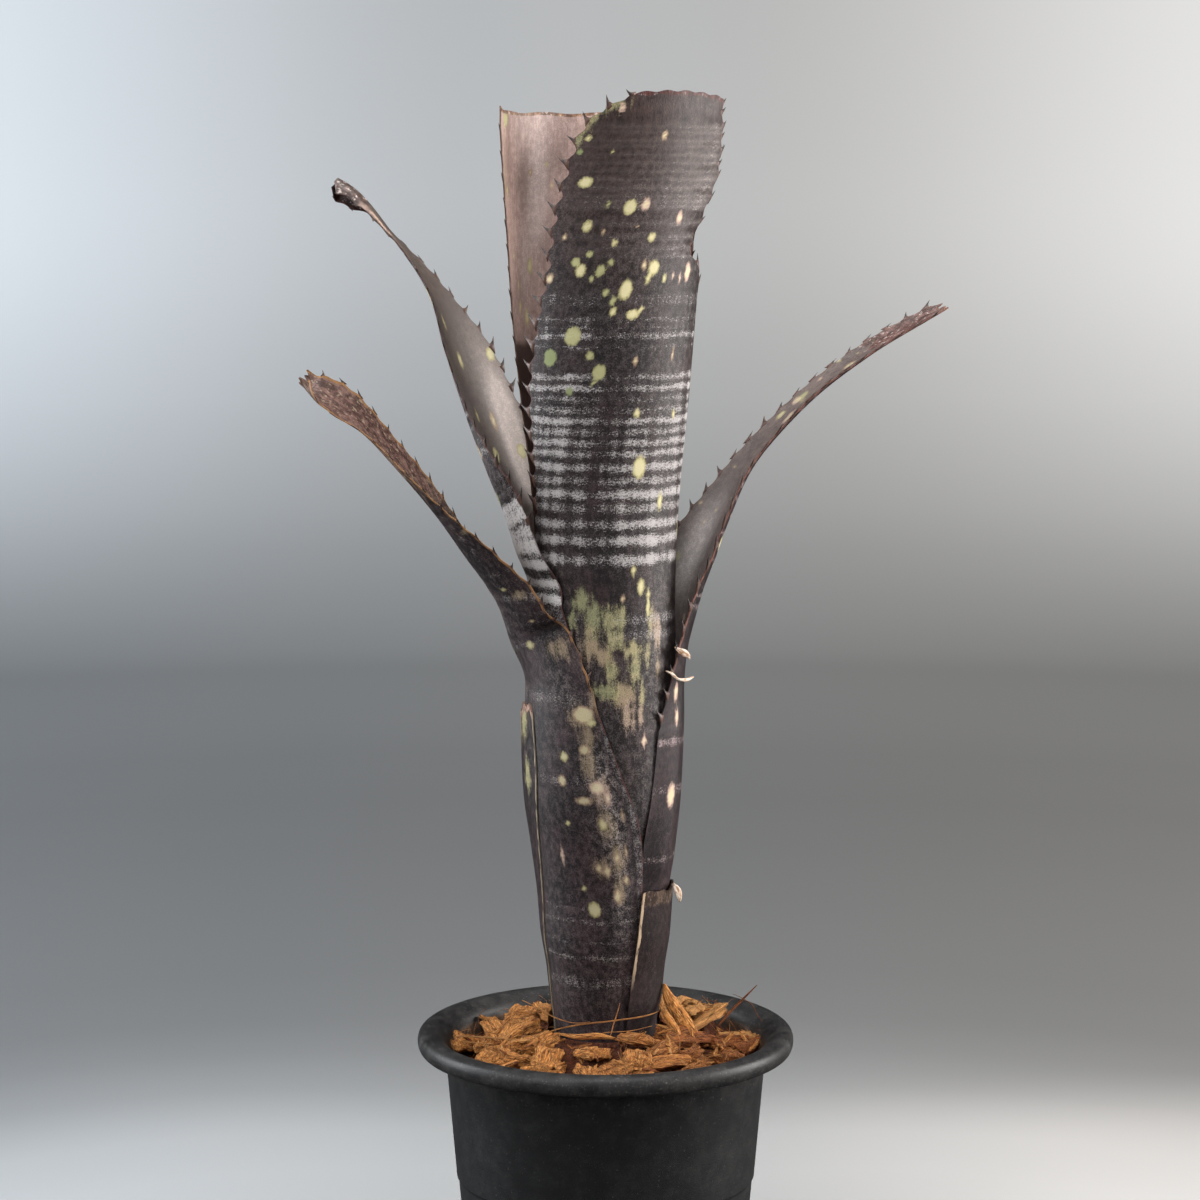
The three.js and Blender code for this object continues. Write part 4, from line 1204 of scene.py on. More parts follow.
# %% Leaf skin materials
DARK = dict(Ground=(0.027, 0.0158, 0.0158), Deep=(0.009, 0.006, 0.0064))
PURPLE = dict(Ground=(0.028, 0.016, 0.018), Deep=(0.009, 0.006, 0.007))
BROWN = dict(Ground=(0.075, 0.048, 0.045), Deep=(0.035, 0.027, 0.027))
WHITISH = (0.40, 0.375, 0.37)
SKINS = {
    "leaf_front": (
        dict(
            DARK, Bloom=WHITISH, Bloom_Amount=0.17, Rim=(0.10, 0.03, 0.028), Rim_Width=0.35,
            Brown=(0.062, 0.038, 0.031), Brown_Length=62.0,
            Dry=(0.11, 0.035, 0.030), Dry_Length=0.9,
        ),
        dict(BROWN, Bloom_Amount=0.25, Band_Gain=0.3),
    ),
    "leaf_back": (
        dict(DARK, Bloom=WHITISH, Bloom_Amount=0.35),
        dict(
            Ground=(0.38, 0.265, 0.225), Deep=(0.21, 0.135, 0.112),
            Bloom=(0.85, 0.72, 0.68), Bloom_Amount=0.5, Fleck=0.3, Band_Gain=0.0,
            Rim=(0.12, 0.05, 0.03), Rim_Width=1.0, Vein=0.5, Dull=0.4,
        ),
    ),
    "leaf_left": (
        dict(
            PURPLE, Bloom=(0.58, 0.56, 0.55), Bloom_Amount=0.3, Rim=(0.08, 0.03, 0.025),
            Dry=(0.06, 0.026, 0.022), Dry_Length=24.0,
        ),
        dict(
            Ground=(0.080, 0.058, 0.048), Deep=(0.050, 0.036, 0.031),
            Bloom=(0.92, 0.79, 0.73), Bloom_Amount=0.5, Fleck=0.2, Band_Gain=0.0,
            Dry=(0.16, 0.11, 0.095), Dry_Length=14.0,
            Rim=(0.06, 0.04, 0.035), Rim_Width=0.3, Vein=0.1, Dull=0.36,
        ),
    ),
    "leaf_right": (
        dict(
            PURPLE, Bloom=(0.32, 0.25, 0.25), Bloom_Amount=0.14,
            Rim=(0.15, 0.062, 0.045), Rim_Width=1.1, Rim_Length=150.0,
        ),
        dict(
            Ground=(0.10, 0.073, 0.064), Deep=(0.055, 0.040, 0.036), Spot_Strength=0.45,
            Bloom=(0.56, 0.49, 0.46), Bloom_Amount=0.45, Fleck=0.3, Band_Gain=0.0,
            Dry=(0.16, 0.085, 0.072), Dry_Length=30.0, Vein=0.15, Dull=0.38,
        ),
    ),
    "leaf_front_left": (
        dict(
            Ground=(0.029, 0.0165, 0.0185), Deep=(0.008, 0.0055, 0.0065), Spot_Strength=0.55,
            Bloom=(0.42, 0.38, 0.36), Bloom_Amount=0.36, Band_Gain=0.5,
            Rim=(0.26, 0.13, 0.05), Rim_Width=0.8, Rim_Length=125.0,
            Dry=(0.24, 0.15, 0.11), Dry_Length=50.0,
        ),
        dict(
            Ground=(0.16, 0.10, 0.085), Deep=(0.05, 0.032, 0.03),
            Bloom=(0.42, 0.33, 0.23), Bloom_Amount=0.5, Band_Gain=0.0,
            Dry=(0.20, 0.115, 0.095), Dry_Length=60.0, Rim=(0.30, 0.15, 0.05), Rim_Width=1.0,
        ),
    ),
    "stub_right": (
        dict(
            Ground=(0.020, 0.0118, 0.012), Deep=(0.009, 0.0058, 0.006),
            Bloom=(0.20, 0.16, 0.15), Bloom_Amount=0.08, Dull=0.6,
            Dry=(0.09, 0.06, 0.042), Dry_Length=5.0,
            Rim=(0.45, 0.33, 0.22), Rim_Width=1.1, Rim_Length=27.0,
        ),
        dict(BROWN, Band_Gain=0.0),
    ),
    "stub_left": (
        dict(
            PURPLE, Bloom=WHITISH, Bloom_Amount=0.3, Dry=(0.4, 0.26, 0.2), Dry_Length=2.0,
            Rim=(0.30, 0.25, 0.18), Rim_Width=0.7,
        ),
        dict(BROWN, Band_Gain=0.0),
    ),
}


def skin_material(name, values, shine):
    material, tree, shader = new_material(name, Specular_IOR_Level=shine)
    skin = use_group(tree, leaf_skin, **values)
    finish_shader(tree, shader, *[skin[key] for key in ("Color", "Roughness", "Height")], 0.00016, 0.7)
    return material


OUTER_SHINE = {"leaf": 0.2, "old_leaf": 0.12}
INNER_SHINE = 0.35
for leaf_name, (outer_values, inner_values) in SKINS.items():
    slot = "old_leaf" if leaf_name.startswith("stub") else "leaf"
    materials = BLADES[leaf_name][0].data.materials
    materials.append(skin_material(leaf_name + "_outer_skin", outer_values, OUTER_SHINE[slot]))
    materials.append(skin_material(leaf_name + "_inner_skin", inner_values, INNER_SHINE))
    finish_piece(BLADES[leaf_name][0], slot, leaf_name)

# %% [markdown]
# Two old tears show on the sheaths: curled flaps of pale dry skin near the right leaf's foot, and
# a loose flap on the right stub's broken edge.

# %% Torn flaps
FLAPS = [
    [(675, 647, -7, 0.2), (679, 650, -8, 0.7), (684, 653, -8, 1.2), (688, 656, -6, 0.8),
     (690, 659, -5, 0.2)],
    [(666, 671, -9, 0.2), (672, 674, -10, 0.5), (678, 679, -10, 0.4), (686, 680, -8, 0.6),
     (693, 677, -4, 0.3)],
    [(673, 884, 0, 0.5), (677, 889, -4, 1.0), (679, 895, -5, 1.0), (680, 902, -5, 0.2)],
]
FACING = [0, -1, 0.13]
THREAD_STEP = 31


def seen_paths(paths):
    """Paths given in pixels of the front picture, with depths and half widths in millimetres."""
    return [[(place_seen_at(x, y, 1, depth), half) for x, y, depth, half in path] for path in paths]


def smooth_through(points, steps):
    """More points on a smooth curve through the given ones."""
    rows = numbered(points)
    return [smooth_table(rows, i / steps)[1:] for i in range(steps * (len(points) - 1) + 1)]


def threads_object(name, paths, flat, sides, steps=4):
    """Closed threads or ribbons along smooth paths of places and half widths, facing the front."""
    vertices, faces, places = [], [], []
    turn = round_turns(sides)
    for number, path in enumerate(paths):
        rows = np.array(smooth_through([[*place, half] for place, half in path], steps))
        ahead = np.gradient(rows[:, :3], axis=0)
        ahead /= np.linalg.norm(ahead, axis=1)[:, None]
        across = np.cross(ahead, FACING)
        across /= np.linalg.norm(across, axis=1)[:, None]
        depth = np.cross(across, ahead)
        start = sides * len(vertices)
        for place, side, out, half in zip(rows[:, :3], across, depth, rows[:, 3]):
            ring = place + half * np.outer(np.cos(turn), side)
            vertices.append(ring + min(half, flat) * np.outer(np.sin(turn), out))
        run = np.linalg.norm(np.diff(rows[:, :3], axis=0), axis=1).cumsum()
        for reach in (0, *run):
            places += [[reach + THREAD_STEP * number, math.cos(a), math.sin(a)] for a in turn]
        faces += tube_faces(len(rows), sides, start)
    piece = new_object(name, np.concatenate(vertices), faces)
    point_outwards(piece.data)
    store(piece.data, "chip_place", places, "FLOAT_VECTOR")
    return piece


def flap_material():
    material, tree, shader = new_material("dry_flap", Specular_IOR_Level=0.4)
    place = stretched(tree, stored(tree, "chip_place", "Vector"), (0.5, 1.4, 1.4))
    streaks = noise(tree, place, detail=4)
    light = ramp_up(tree, streaks, 0.36, 0.62)
    tone = blend_colours(tree, light, (0.34, 0.19, 0.10), (0.72, 0.62, 0.52))
    rough = scaled(tree, streaks, 0.4, 0.35)
    finish_shader(tree, shader, tone, rough, streaks, 0.0003)
    return material


flaps = threads_object("dry_flaps", seen_paths(FLAPS), 0.35, 10)
flaps.data.materials.append(flap_material())
finish_piece(flaps, "old_leaf")

# %% [markdown]
# ## Spines
# The spines are hooks that point up the leaf: broad where they join the margin, flat from face
# to face, and dark to the tip. One spine is modelled once, as a short bent cone. Geometry Nodes
# set a copy on each scallop's peak, and on a few more places of the tallest leaf's margin, turn
# it by the stored directions, and vary its size.

# %% One spine
SPINE_SIDES = 6
SPINE_RINGS = [
    # up the leaf, outwards, half length along the margin, half thickness, in spine lengths
    [-0.18, -0.28, 0.62, 0.11],
    [-0.10, 0.0, 0.42, 0.10],
    [0.02, 0.22, 0.24, 0.085],
    [0.16, 0.48, 0.14, 0.065],
    [0.33, 0.74, 0.075, 0.04],
    [0.50, 0.96, 0.012, 0.01],
]


def spine_object():
    points = []
    for up, out, half_length, half_thickness in SPINE_RINGS:
        for turn in round_turns(SPINE_SIDES):
            points.append([up + half_length * np.cos(turn), half_thickness * np.sin(turn), out])
    points = np.array(points)
    piece = new_object("one_spine", points, tube_faces(len(SPINE_RINGS), SPINE_SIDES))
    point_outwards(piece.data)
    store(piece.data, "spine_height", points[:, 2])
    return piece


one_spine = spine_object()
print("one spine:", len(one_spine.data.polygons), "faces")

# %% Spine material
def horn_material():
    material, tree, shader = new_material("spine_horn", Specular_IOR_Level=0.5)
    clouds = noise(tree, object_place(tree), scale=900)
    outwards = ramp_up(tree, stored(tree, "spine_height"), -0.1, 0.45)
    tone = blend_colours(tree, outwards, (0.075, 0.035, 0.025), (0.012, 0.007, 0.006))
    tone = blend_colours(tree, ramp_up(tree, clouds, 0.45, 0.75), tone, (0.10, 0.05, 0.035))
    finish_shader(tree, shader, tone, ramp_up(tree, clouds, 1.4, -0.4), clouds, 0.0001)
    return material


spine_material = horn_material()
print("spine material:", spine_material.name)

# %% Spines along a margin, with Geometry Nodes
GEOMETRY_IN = ("Geometry", "Geometry", None)
GEOMETRY_OUT = ("Geometry", "Geometry")
SPINE_INPUTS = [
    GEOMETRY_IN,
    ("Spine", "Object", None),
    ("Material", "Material", None),
    ("Size Spread", "Float", 0.18),
    ("Seed", "Int", 3),
]


def spine_tree():
    tree, given, result = new_group(
        "spines on a margin", "GeometryNodeTree", SPINE_INPUTS, [GEOMETRY_OUT]
    )
    axes = {
        "Primary Axis": named_attribute(tree, "outward", "FLOAT_VECTOR"),
        "Secondary Axis": named_attribute(tree, "ahead", "FLOAT_VECTOR"),
    }
    turn = node(
        tree, "FunctionNodeAxesToRotation", axes, primary_axis="Z", secondary_axis="X"
    )
    low = calc(tree, "SUBTRACT", 1.0, given["Size Spread"])
    high = calc(tree, "ADD", 1.0, given["Size Spread"])
    spread = random_value(tree, "FLOAT", low, high, given["Seed"])
    spine = node(tree, "GeometryNodeObjectInfo", {"Object": given["Spine"]})
    copies = {
        "Points": given["Geometry"],
        "Instance": spine.outputs["Geometry"],
        "Rotation": turn.outputs[0],
        "Scale": product(tree, spread, named_attribute(tree, "size", "FLOAT")),
    }
    placed = node(tree, "GeometryNodeInstanceOnPoints", copies)
    finish_geometry(tree, placed.outputs[0], given["Material"], result)
    return tree


spines_on_margin = spine_tree()
for leaf_number, (leaf_name, (_, _, points)) in enumerate(BLADES.items()):
    if not points:
        continue
    places, ahead, outward, sizes = zip(*points)
    roots = new_object(leaf_name + "_margin", places, [])
    store(roots.data, "ahead", ahead, "FLOAT_VECTOR")
    store(roots.data, "outward", outward, "FLOAT_VECTOR")
    store(roots.data, "size", sizes)
    choices = dict(Spine=one_spine, Material=spine_material, Seed=leaf_number)
    spines = grow(roots, spines_on_margin, leaf_name + "_spines", **choices)
    bpy.data.objects.remove(roots)
    finish_piece(spines, "leaf")
bpy.data.objects.remove(one_spine)

# %% [markdown]
# ## Pot
# The pot is a moulded black plastic one: a wall that widens upwards, a small step half way, and a
# rolled rim. A profile turned round the axis makes it. The rim's few profile points are joined
# by a smooth curve, and the pole at the floor's middle is one shared point.

# %% Turned shapes
def turned_object(name, rings, smooth_angle=35):
    """A closed body from rings of equal point counts, with the first and last ring as poles."""
    rings = [np.asarray(ring, float) for ring in rings]
    sides = len(rings[1])
    vertices = [rings[0][:1]] + rings[1:-1] + [rings[-1][:1]]
    faces = []
    for j in range(sides):
        k = (j + 1) % sides
        faces.append([0, 1 + k, 1 + j])
        for i in range(len(rings) - 3):
            low, high = 1 + i * sides, 1 + (i + 1) * sides
            faces.append([low + j, low + k, high + k, high + j])
        low = 1 + (len(rings) - 3) * sides
        faces.append([low + j, low + k, low + sides])
    piece = new_object(name, np.concatenate(vertices), faces)
    point_outwards(piece.data)
    piece.data.set_sharp_from_angle(angle=math.radians(smooth_angle))
    return piece


def ring_at(radius, height, sides):
    turn = round_turns(sides)
    return np.stack([radius * np.cos(turn), radius * np.sin(turn), height + 0 * turn], axis=1)


# %% Pot
RIM_RADIUS = 60.0
POT_HEIGHT = 105.0
WALL = 1.3
FLOOR = 1.8
WALL_TAPER = 0.086
NECK_Z = 97.0
NECK_RADIUS = 51.1
STEP_Z = 57.5
STEP_RUN = 0.8
STEP_IN = 0.5
FOOT_ROUND = 0.8
FOOT_TURNS = (0, 0.5, 1.0, 1.57)
POT_SIDES = 160
RIM_PROFILE = [
    [-8, -5.8], [-3.4, -5.2], [-1.6, -6.4], [-0.4, -5.4], [0, -3],
    [-0.7, -1], [-2.8, 0], [-5.6, -0.5], [-8.6, -2.8], [-10.1, -5.6],
]


def wall_radius(z):
    radius = NECK_RADIUS - WALL_TAPER * (NECK_Z - z)
    return radius if z > STEP_Z - STEP_RUN / 2 else radius - STEP_IN


def pot_profile():
    low_step, high_step = STEP_Z - STEP_RUN, STEP_Z
    foot = [(0, 0)]
    for turn in FOOT_TURNS:
        inwards, upwards = FOOT_ROUND * (1 - math.sin(turn)), FOOT_ROUND * (1 - math.cos(turn))
        foot.append((wall_radius(0) - inwards, upwards))
    outside = [(wall_radius(z), z) for z in (20, 40, low_step - 0.3)]
    outside += [(wall_radius(low_step), low_step), (wall_radius(high_step), high_step)]
    outside += [(wall_radius(z), z) for z in (high_step + 0.3, 75, NECK_Z)]
    rim = [(RIM_RADIUS + r, POT_HEIGHT + z) for r, z in RIM_PROFILE]
    rim = [tuple(point) for point in smooth_through(rim, 5)]
    inside = [(wall_radius(z) - WALL, z) for z in (96, high_step, low_step, 3.1)]
    bottom = [(wall_radius(FLOOR) - 2 * WALL, FLOOR), (0, FLOOR)]
    return foot + outside + rim + inside + bottom


pot = turned_object("pot_shell", [ring_at(r, z, POT_SIDES) for r, z in pot_profile()], 40)
print("pot:", len(pot.data.polygons), "faces")

# %% [markdown]
# Black polypropylene is satin. It shows a fine moulding grain, faint rings from the mould, scuffs
# and a little pale dust, which gathers on the rim's ledge and on the inner wall.

# %% Pot material
def pot_material():
    material, tree, shader = new_material("pot_plastic", Specular_IOR_Level=0.24, IOR=1.5)
    place = object_place(tree)
    height = node(tree, "ShaderNodeSeparateXYZ", {"Vector": place}).outputs["Z"]
    grain = noise(tree, place, scale=1600, roughness=0.7)
    rings = noise(tree, stretched(tree, place, (40, 40, 1400)), detail=2, roughness=0.6)
    scuffs = noise(tree, place, scale=160, detail=6, roughness=0.75)
    specks = noise(tree, place, scale=1500, detail=1)
    high_up = ramp_up(tree, height, 0.088, 0.101)
    scuffed = ramp_up(tree, scuffs, 0.45, 0.75)
    tone = blend_colours(tree, scuffed, (0.0085, 0.0085, 0.009), (0.014, 0.014, 0.014))
    dust = product(tree, product(tree, ramp_up(tree, specks, 0.60, 0.72), high_up), 0.22)
    dust = scaled(tree, ramp_up(tree, specks, 0.70, 0.78), 0.25, dust)
    tone = blend_colours(tree, dust, tone, (0.14, 0.13, 0.12))
    film = product(tree, ramp_up(tree, scuffs, 0.35, 0.7), product(tree, high_up, 0.35))
    tone = blend_colours(tree, film, tone, (0.06, 0.055, 0.052))
    # The inner wall is browner, in patches.
    inner_wall = product(tree, ramp_up(tree, from_axis(tree, place), 0.0503, 0.0499), high_up)
    inner_wall_brown = product(tree, inner_wall, ramp_up(tree, scuffs, 0.30, 0.60))
    tone = blend_colours(tree, product(tree, inner_wall_brown, 0.75), tone, (0.13, 0.085, 0.058))
    rough = scaled(tree, scuffs, 0.35, 0.30)
    relief = scaled(tree, rings, 0.6, grain)
    finish_shader(tree, shader, tone, rough, relief, 0.00006, 0.6)
    return material


pot.data.materials.append(pot_material())
finish_piece(pot, "pot_plastic", "pot")

# %% [markdown]
# ## Husk bed
# Coconut husk chips fill the pot. Under the chips lies a bed of the same stuff in crumbs and
# fibre, with a plain hole where the stem stands. The bed is a ring of points for every step from
# the stem's hole out to the wall, and its top follows the mound of the CAD model.

# %% Bed
MOUND = [[16, 105.5], [24, 103.5], [34, 100.5], [44, 97.6], [50, 96]]
PILE = [27.0, 21.0, 11.0, 6.5]
STEM_HOLE = 18.3
HOLE_Z = 84.0
BED_GAP = 0.3
BED_SIDES = 180
BED_RINGS = 28
BED_TOP = 104
BED_SINK = 0.6
BED_ROUGHNESS = (-1.4, 0.2)
BED_SEED = 12


def mound_height(x, y):
    pile_x, pile_y, spread, rise = PILE
    level = smooth_table(MOUND, math.hypot(x, y))[1]
    return level + rise * math.exp(-((math.hypot(x - pile_x, y - pile_y) / spread) ** 2))


def bed_rings():
    turn = round_turns(BED_SIDES)
    unit = np.stack([np.cos(turn), np.sin(turn)], axis=1)
    stem = np.array([STEM_X, STEM_Y])
    rng = np.random.default_rng(BED_SEED)
    hole = stem + STEM_HOLE * unit
    wall = (wall_radius(96) - WALL - BED_GAP) * unit

    def ring(places, heights):
        return np.concatenate([places, np.broadcast_to(heights, BED_SIDES)[:, None]], axis=1)

    rings = [ring(stem + 0 * unit, HOLE_Z), ring(hole, HOLE_Z)]
    for i in range(BED_RINGS + 1):
        places = hole + i / BED_RINGS * (wall - hole)
        heights = np.array([mound_height(*place) for place in places])
        rough = rng.uniform(*BED_ROUGHNESS, BED_SIDES) if 0 < i < BED_RINGS else 0
        rings.append(ring(places, np.minimum(heights, BED_TOP) + rough - BED_SINK))
    for z in (80, STEP_Z, STEP_Z - STEP_RUN, 20, FLOOR + 3 * WALL):
        rings.append(ring((wall_radius(z) - WALL - BED_GAP) * unit, z))
    rings.append(ring((wall_radius(0) - 3 * WALL) * unit, FLOOR + BED_GAP))
    rings.append(ring(0 * unit, FLOOR + BED_GAP))
    return rings


bed = turned_object("husk_bed", bed_rings())
print("bed:", len(bed.data.polygons), "faces")

# %% [markdown]
# ## Husk chips
# Each chip is the hull of eight scattered corners, in the same places as in the CAD model. Real
# chips are sawn blocks of fibrous husk: square-cut, frayed and ridged along the grain. So each
# chip keeps its own coordinates as an attribute, with the grain along its length, and Geometry
# Nodes subdivide the blocks and raise ridges along the grain.

# %% Chip blocks
CHIP_COUNT = 58
CHIP_MIN = [11, 7, 3.5]
CHIP_MAX = [16, 11, 5]
CHIP_TILT = 25.0
CHIP_INNER = 15.0
CHIP_SPREAD = 31.5
GOLDEN_ANGLE = 137.5
CHIP_LIFT = 1.6
CHIP_JITTER = 0.5
CORNER_LEAST = 0.65
CORNER_SPREAD = 0.5
PLACE_STEP = 37.0
CHIP_BEVEL = 0.5
CHIP_SEED = 21
SHADE_STEP = 0.618
FLAT_ANGLE = math.radians(8)
CORNER_SIGNS = [
    (1, 1, 1), (1, 1, -1), (1, -1, 1), (1, -1, -1),
    (-1, 1, -1), (-1, 1, 1), (-1, -1, -1), (-1, -1, 1),
]


def turn_about(axis, degrees):
    c, s = math.cos(math.radians(degrees)), math.sin(math.radians(degrees))
    if axis == "x":
        return np.array([[1, 0, 0], [0, c, -s], [0, s, c]])
    if axis == "y":
        return np.array([[c, 0, s], [0, 1, 0], [-s, 0, c]])
    return np.array([[c, -s, 0], [s, c, 0], [0, 0, 1]])


def chip_blocks():
    """For each chip: its corners in its own frame, its turn, and its place."""
    random = random_numbers(CHIP_SEED)
    blocks = []
    for i in range(CHIP_COUNT):
        size = [low + (high - low) * next(random) for low, high in zip(CHIP_MIN, CHIP_MAX)]
        corners = []
        for signs in CORNER_SIGNS:
            shares = [CORNER_LEAST + CORNER_SPREAD * next(random) for _ in signs]
            halves = [whole / 2 * share for whole, share in zip(size, shares)]
            corners.append([sign * half for sign, half in zip(signs, halves)])
        ring = math.sqrt((i + 0.5) / CHIP_COUNT)
        radius = CHIP_INNER + CHIP_SPREAD * ring
        angle = i * math.radians(GOLDEN_ANGLE) + CHIP_JITTER * next(random)
        turn_x = turn_about("x", CHIP_TILT * (2 * next(random) - 1))
        turn_y = turn_about("y", CHIP_TILT * (2 * next(random) - 1))
        turn_z = turn_about("z", 360 * next(random))
        x, y = radius * math.cos(angle), radius * math.sin(angle)
        place = [x, y, mound_height(x, y) + CHIP_LIFT * next(random)]
        blocks.append((np.array(corners), turn_z @ turn_y @ turn_x, np.array(place)))
    return blocks


def hull_mesh(corners, bevel):
    """A convex block through the corners, with small bevels."""
    work = bmesh.new()
    for corner in corners:
        work.verts.new(corner)
    bmesh.ops.convex_hull(work, input=work.verts)
    loose = [v for v in work.verts if not v.link_faces]
    bmesh.ops.delete(work, geom=loose, context="VERTS")
    bmesh.ops.dissolve_limit(work, angle_limit=FLAT_ANGLE, verts=work.verts, edges=work.edges)
    bmesh.ops.bevel(work, geom=work.edges[:], offset=bevel, segments=1, affect="EDGES")
    bmesh.ops.recalc_face_normals(work, faces=work.faces)
    work.verts.index_update()
    points = np.array([v.co[:] for v in work.verts])
    faces = [[v.index for v in face.verts] for face in work.faces]
    work.free()
    return points, faces


def chips_object(name, blocks):
    vertices, faces, places, shades = [], [], [], []
    count = 0
    for i, (corners, turn, place) in enumerate(blocks):
        points, block_faces = hull_mesh(corners, CHIP_BEVEL)
        vertices.append(points @ turn.T + place)
        faces += [[count + j for j in face] for face in block_faces]
        places.append(points + [PLACE_STEP * i, 0, 0])
        shades += [(i * SHADE_STEP) % 1] * len(points)
        count += len(points)
    piece = new_object(name, np.concatenate(vertices), faces)
    store(piece.data, "chip_place", np.concatenate(places), "FLOAT_VECTOR")
    store(piece.data, "chip_shade", shades)
    return piece


chip_source = chips_object("chip_blocks", chip_blocks())
print("chip blocks:", len(chip_source.data.polygons), "faces")

# %% Husk material
husk_inputs = [("Place", "Vector", (0, 0, 0)), ("Shade", "Float", 0.5)]
husk_outputs = [("Color", "Color"), ("Height", "Float")]


def husk_grain_group():
    """Coconut husk: long parallel fibres, orange-brown, with corky pale pith between them."""
    tree, given, result = new_group("husk grain", "ShaderNodeTree", husk_inputs, husk_outputs)
    place = given["Place"]
    along = stretched(tree, place, (0.22, 2.1, 2.1))
    fibres = noise(tree, along, detail=5, roughness=0.7, distortion=0.4)
    threads = noise(tree, stretched(tree, place, (0.5, 6.5, 6.5)), detail=3, roughness=0.6)
    pith = noise(tree, stretched(tree, place, (0.55, 0.9, 0.9)), detail=4, roughness=0.65)
    light = ramp_up(tree, fibres, 0.36, 0.66)
    colour = blend_colours(tree, light, (0.085, 0.024, 0.006), (0.60, 0.225, 0.048))
    colour = blend_colours(tree, ramp_up(tree, threads, 0.5, 0.68), colour, (0.76, 0.40, 0.13))
    colour = blend_colours(tree, ramp_up(tree, pith, 0.62, 0.75), colour, (0.50, 0.26, 0.09))
    colour = blend_colours(tree, ramp_up(tree, pith, 0.42, 0.28), colour, (0.06, 0.02, 0.008))
    pale = blend_colours(tree, 0.35, colour, (0.52, 0.29, 0.11))
    dark = filtered(tree, colour, (0.42, 0.29, 0.24))
    colour = blend_colours(tree, ramp_up(tree, given["Shade"], 0.55, 1.0), colour, pale)
    colour = blend_colours(tree, ramp_up(tree, given["Shade"], 0.38, 0.0), colour, dark)
    height = scaled(tree, fibres, 0.7, product(tree, threads, 0.3))
    tree.links.new(colour, result.inputs["Color"])
    tree.links.new(height, result.inputs["Height"])
    return tree


husk_grain = husk_grain_group()


def husk_material(name, place, shade, distance, shadow=(1, 1, 1)):
    material, tree, shader = new_material(name, Specular_IOR_Level=0.25)
    if isinstance(place, str):
        vector = stored(tree, place, "Vector")
    else:
        vector = stretched(tree, object_place(tree), place)
    value = stored(tree, shade) if isinstance(shade, str) else shade
    grain = use_group(tree, husk_grain, Place=vector, Shade=value)
    shadowed = filtered(tree, grain["Color"], shadow)
    rough = scaled(tree, grain["Height"], -0.3, 0.95)
    finish_shader(tree, shader, shadowed, rough, grain["Height"], distance)
    return material


chip_material = husk_material("husk_chip", "chip_place", "chip_shade", 0.0015)
bed_material = husk_material("husk_bed", (600, 600, 600), 0.0, 0.0012, (0.4, 0.33, 0.3))
bed.data.materials.append(bed_material)
finish_piece(bed, "husk", "substrate")

# %% Frayed chips, with Geometry Nodes
FRAY_INPUTS = [
    GEOMETRY_IN,
    ("Material", "Material", None),
    ("Levels", "Int", 2),
    ("Crease", "Float", 0.5),
    ("Ridge Height", "Float", 0.0028),
    ("Lump Height", "Float", 0.0040),
]


def fray_tree():
    tree, given, result = new_group("frayed husk", "GeometryNodeTree", FRAY_INPUTS, [GEOMETRY_OUT])
    block = {
        "Mesh": given["Geometry"],
        "Level": given["Levels"],
        "Edge Crease": given["Crease"],
    }
    rounded = node(tree, "GeometryNodeSubdivisionSurface", block)
    place = named_attribute(tree, "chip_place", "FLOAT_VECTOR")
    ridges = noise(tree, stretched(tree, place, (0.12, 1.1, 1.1)), roughness=0.65)
    lumps = noise(tree, stretched(tree, place, (0.25, 0.35, 0.35)), detail=2)
    ridge = product(tree, calc(tree, "SUBTRACT", ridges, 0.52), given["Ridge Height"])
    lump = product(tree, calc(tree, "SUBTRACT", lumps, 0.55), given["Lump Height"])
    normal = node(tree, "GeometryNodeInputNormal").outputs[0]
    lift = {0: normal, "Scale": calc(tree, "ADD", ridge, lump)}
    offset = node(tree, "ShaderNodeVectorMath", lift, operation="SCALE").outputs[0]
    moved = node(
        tree, "GeometryNodeSetPosition", {"Geometry": rounded.outputs[0], "Offset": offset}
    )
    finish_geometry(tree, moved.outputs[0], given["Material"], result)
    return tree


frayed_husk = fray_tree()
chips = grow(chip_source, frayed_husk, "husk_chips", Material=chip_material)
bpy.data.objects.remove(chip_source)

CHIP_LIMIT = 48.9
WIDER_FROM_Z = 100
WIDER_BY = 0.6


def keep_in_pot(piece):
    """Draws points in from the pot's wall and out of the stem's hole."""
    mesh = piece.data
    places = point_places(mesh) / MM
    radius = np.hypot(places[:, 0], places[:, 1])
    limit = np.where(places[:, 2] < WIDER_FROM_Z, CHIP_LIMIT, CHIP_LIMIT + WIDER_BY)
    places[:, :2] *= np.minimum(1, limit / np.maximum(radius, TINY))[:, None]
    away = places[:, :2] - [STEM_X, STEM_Y]
    reach = np.maximum(np.hypot(away[:, 0], away[:, 1]), TINY)
    places[:, :2] = [STEM_X, STEM_Y] + away * np.maximum(1, STEM_HOLE / reach)[:, None]
    mesh.vertices.foreach_set("co", (places * MM).astype(np.float32).ravel())
    mesh.update()


keep_in_pot(chips)

# %% [markdown]
# ## Splinters and fibres
# Between the chips lie splinters, and loose fibres stand off them. One splinter and one fibre are
# modelled, and Geometry Nodes scatter copies over the upward sides of the chips and the bed, each
# turned, scaled and shaded at random from a fixed seed.

# %% One splinter and one fibre
SPLINTER = [6.0, 1.3, 0.8]
FIBRE_LENGTH = 11.0
FIBRE_RADIUS = 0.1
FIBRE_SIDES = 4


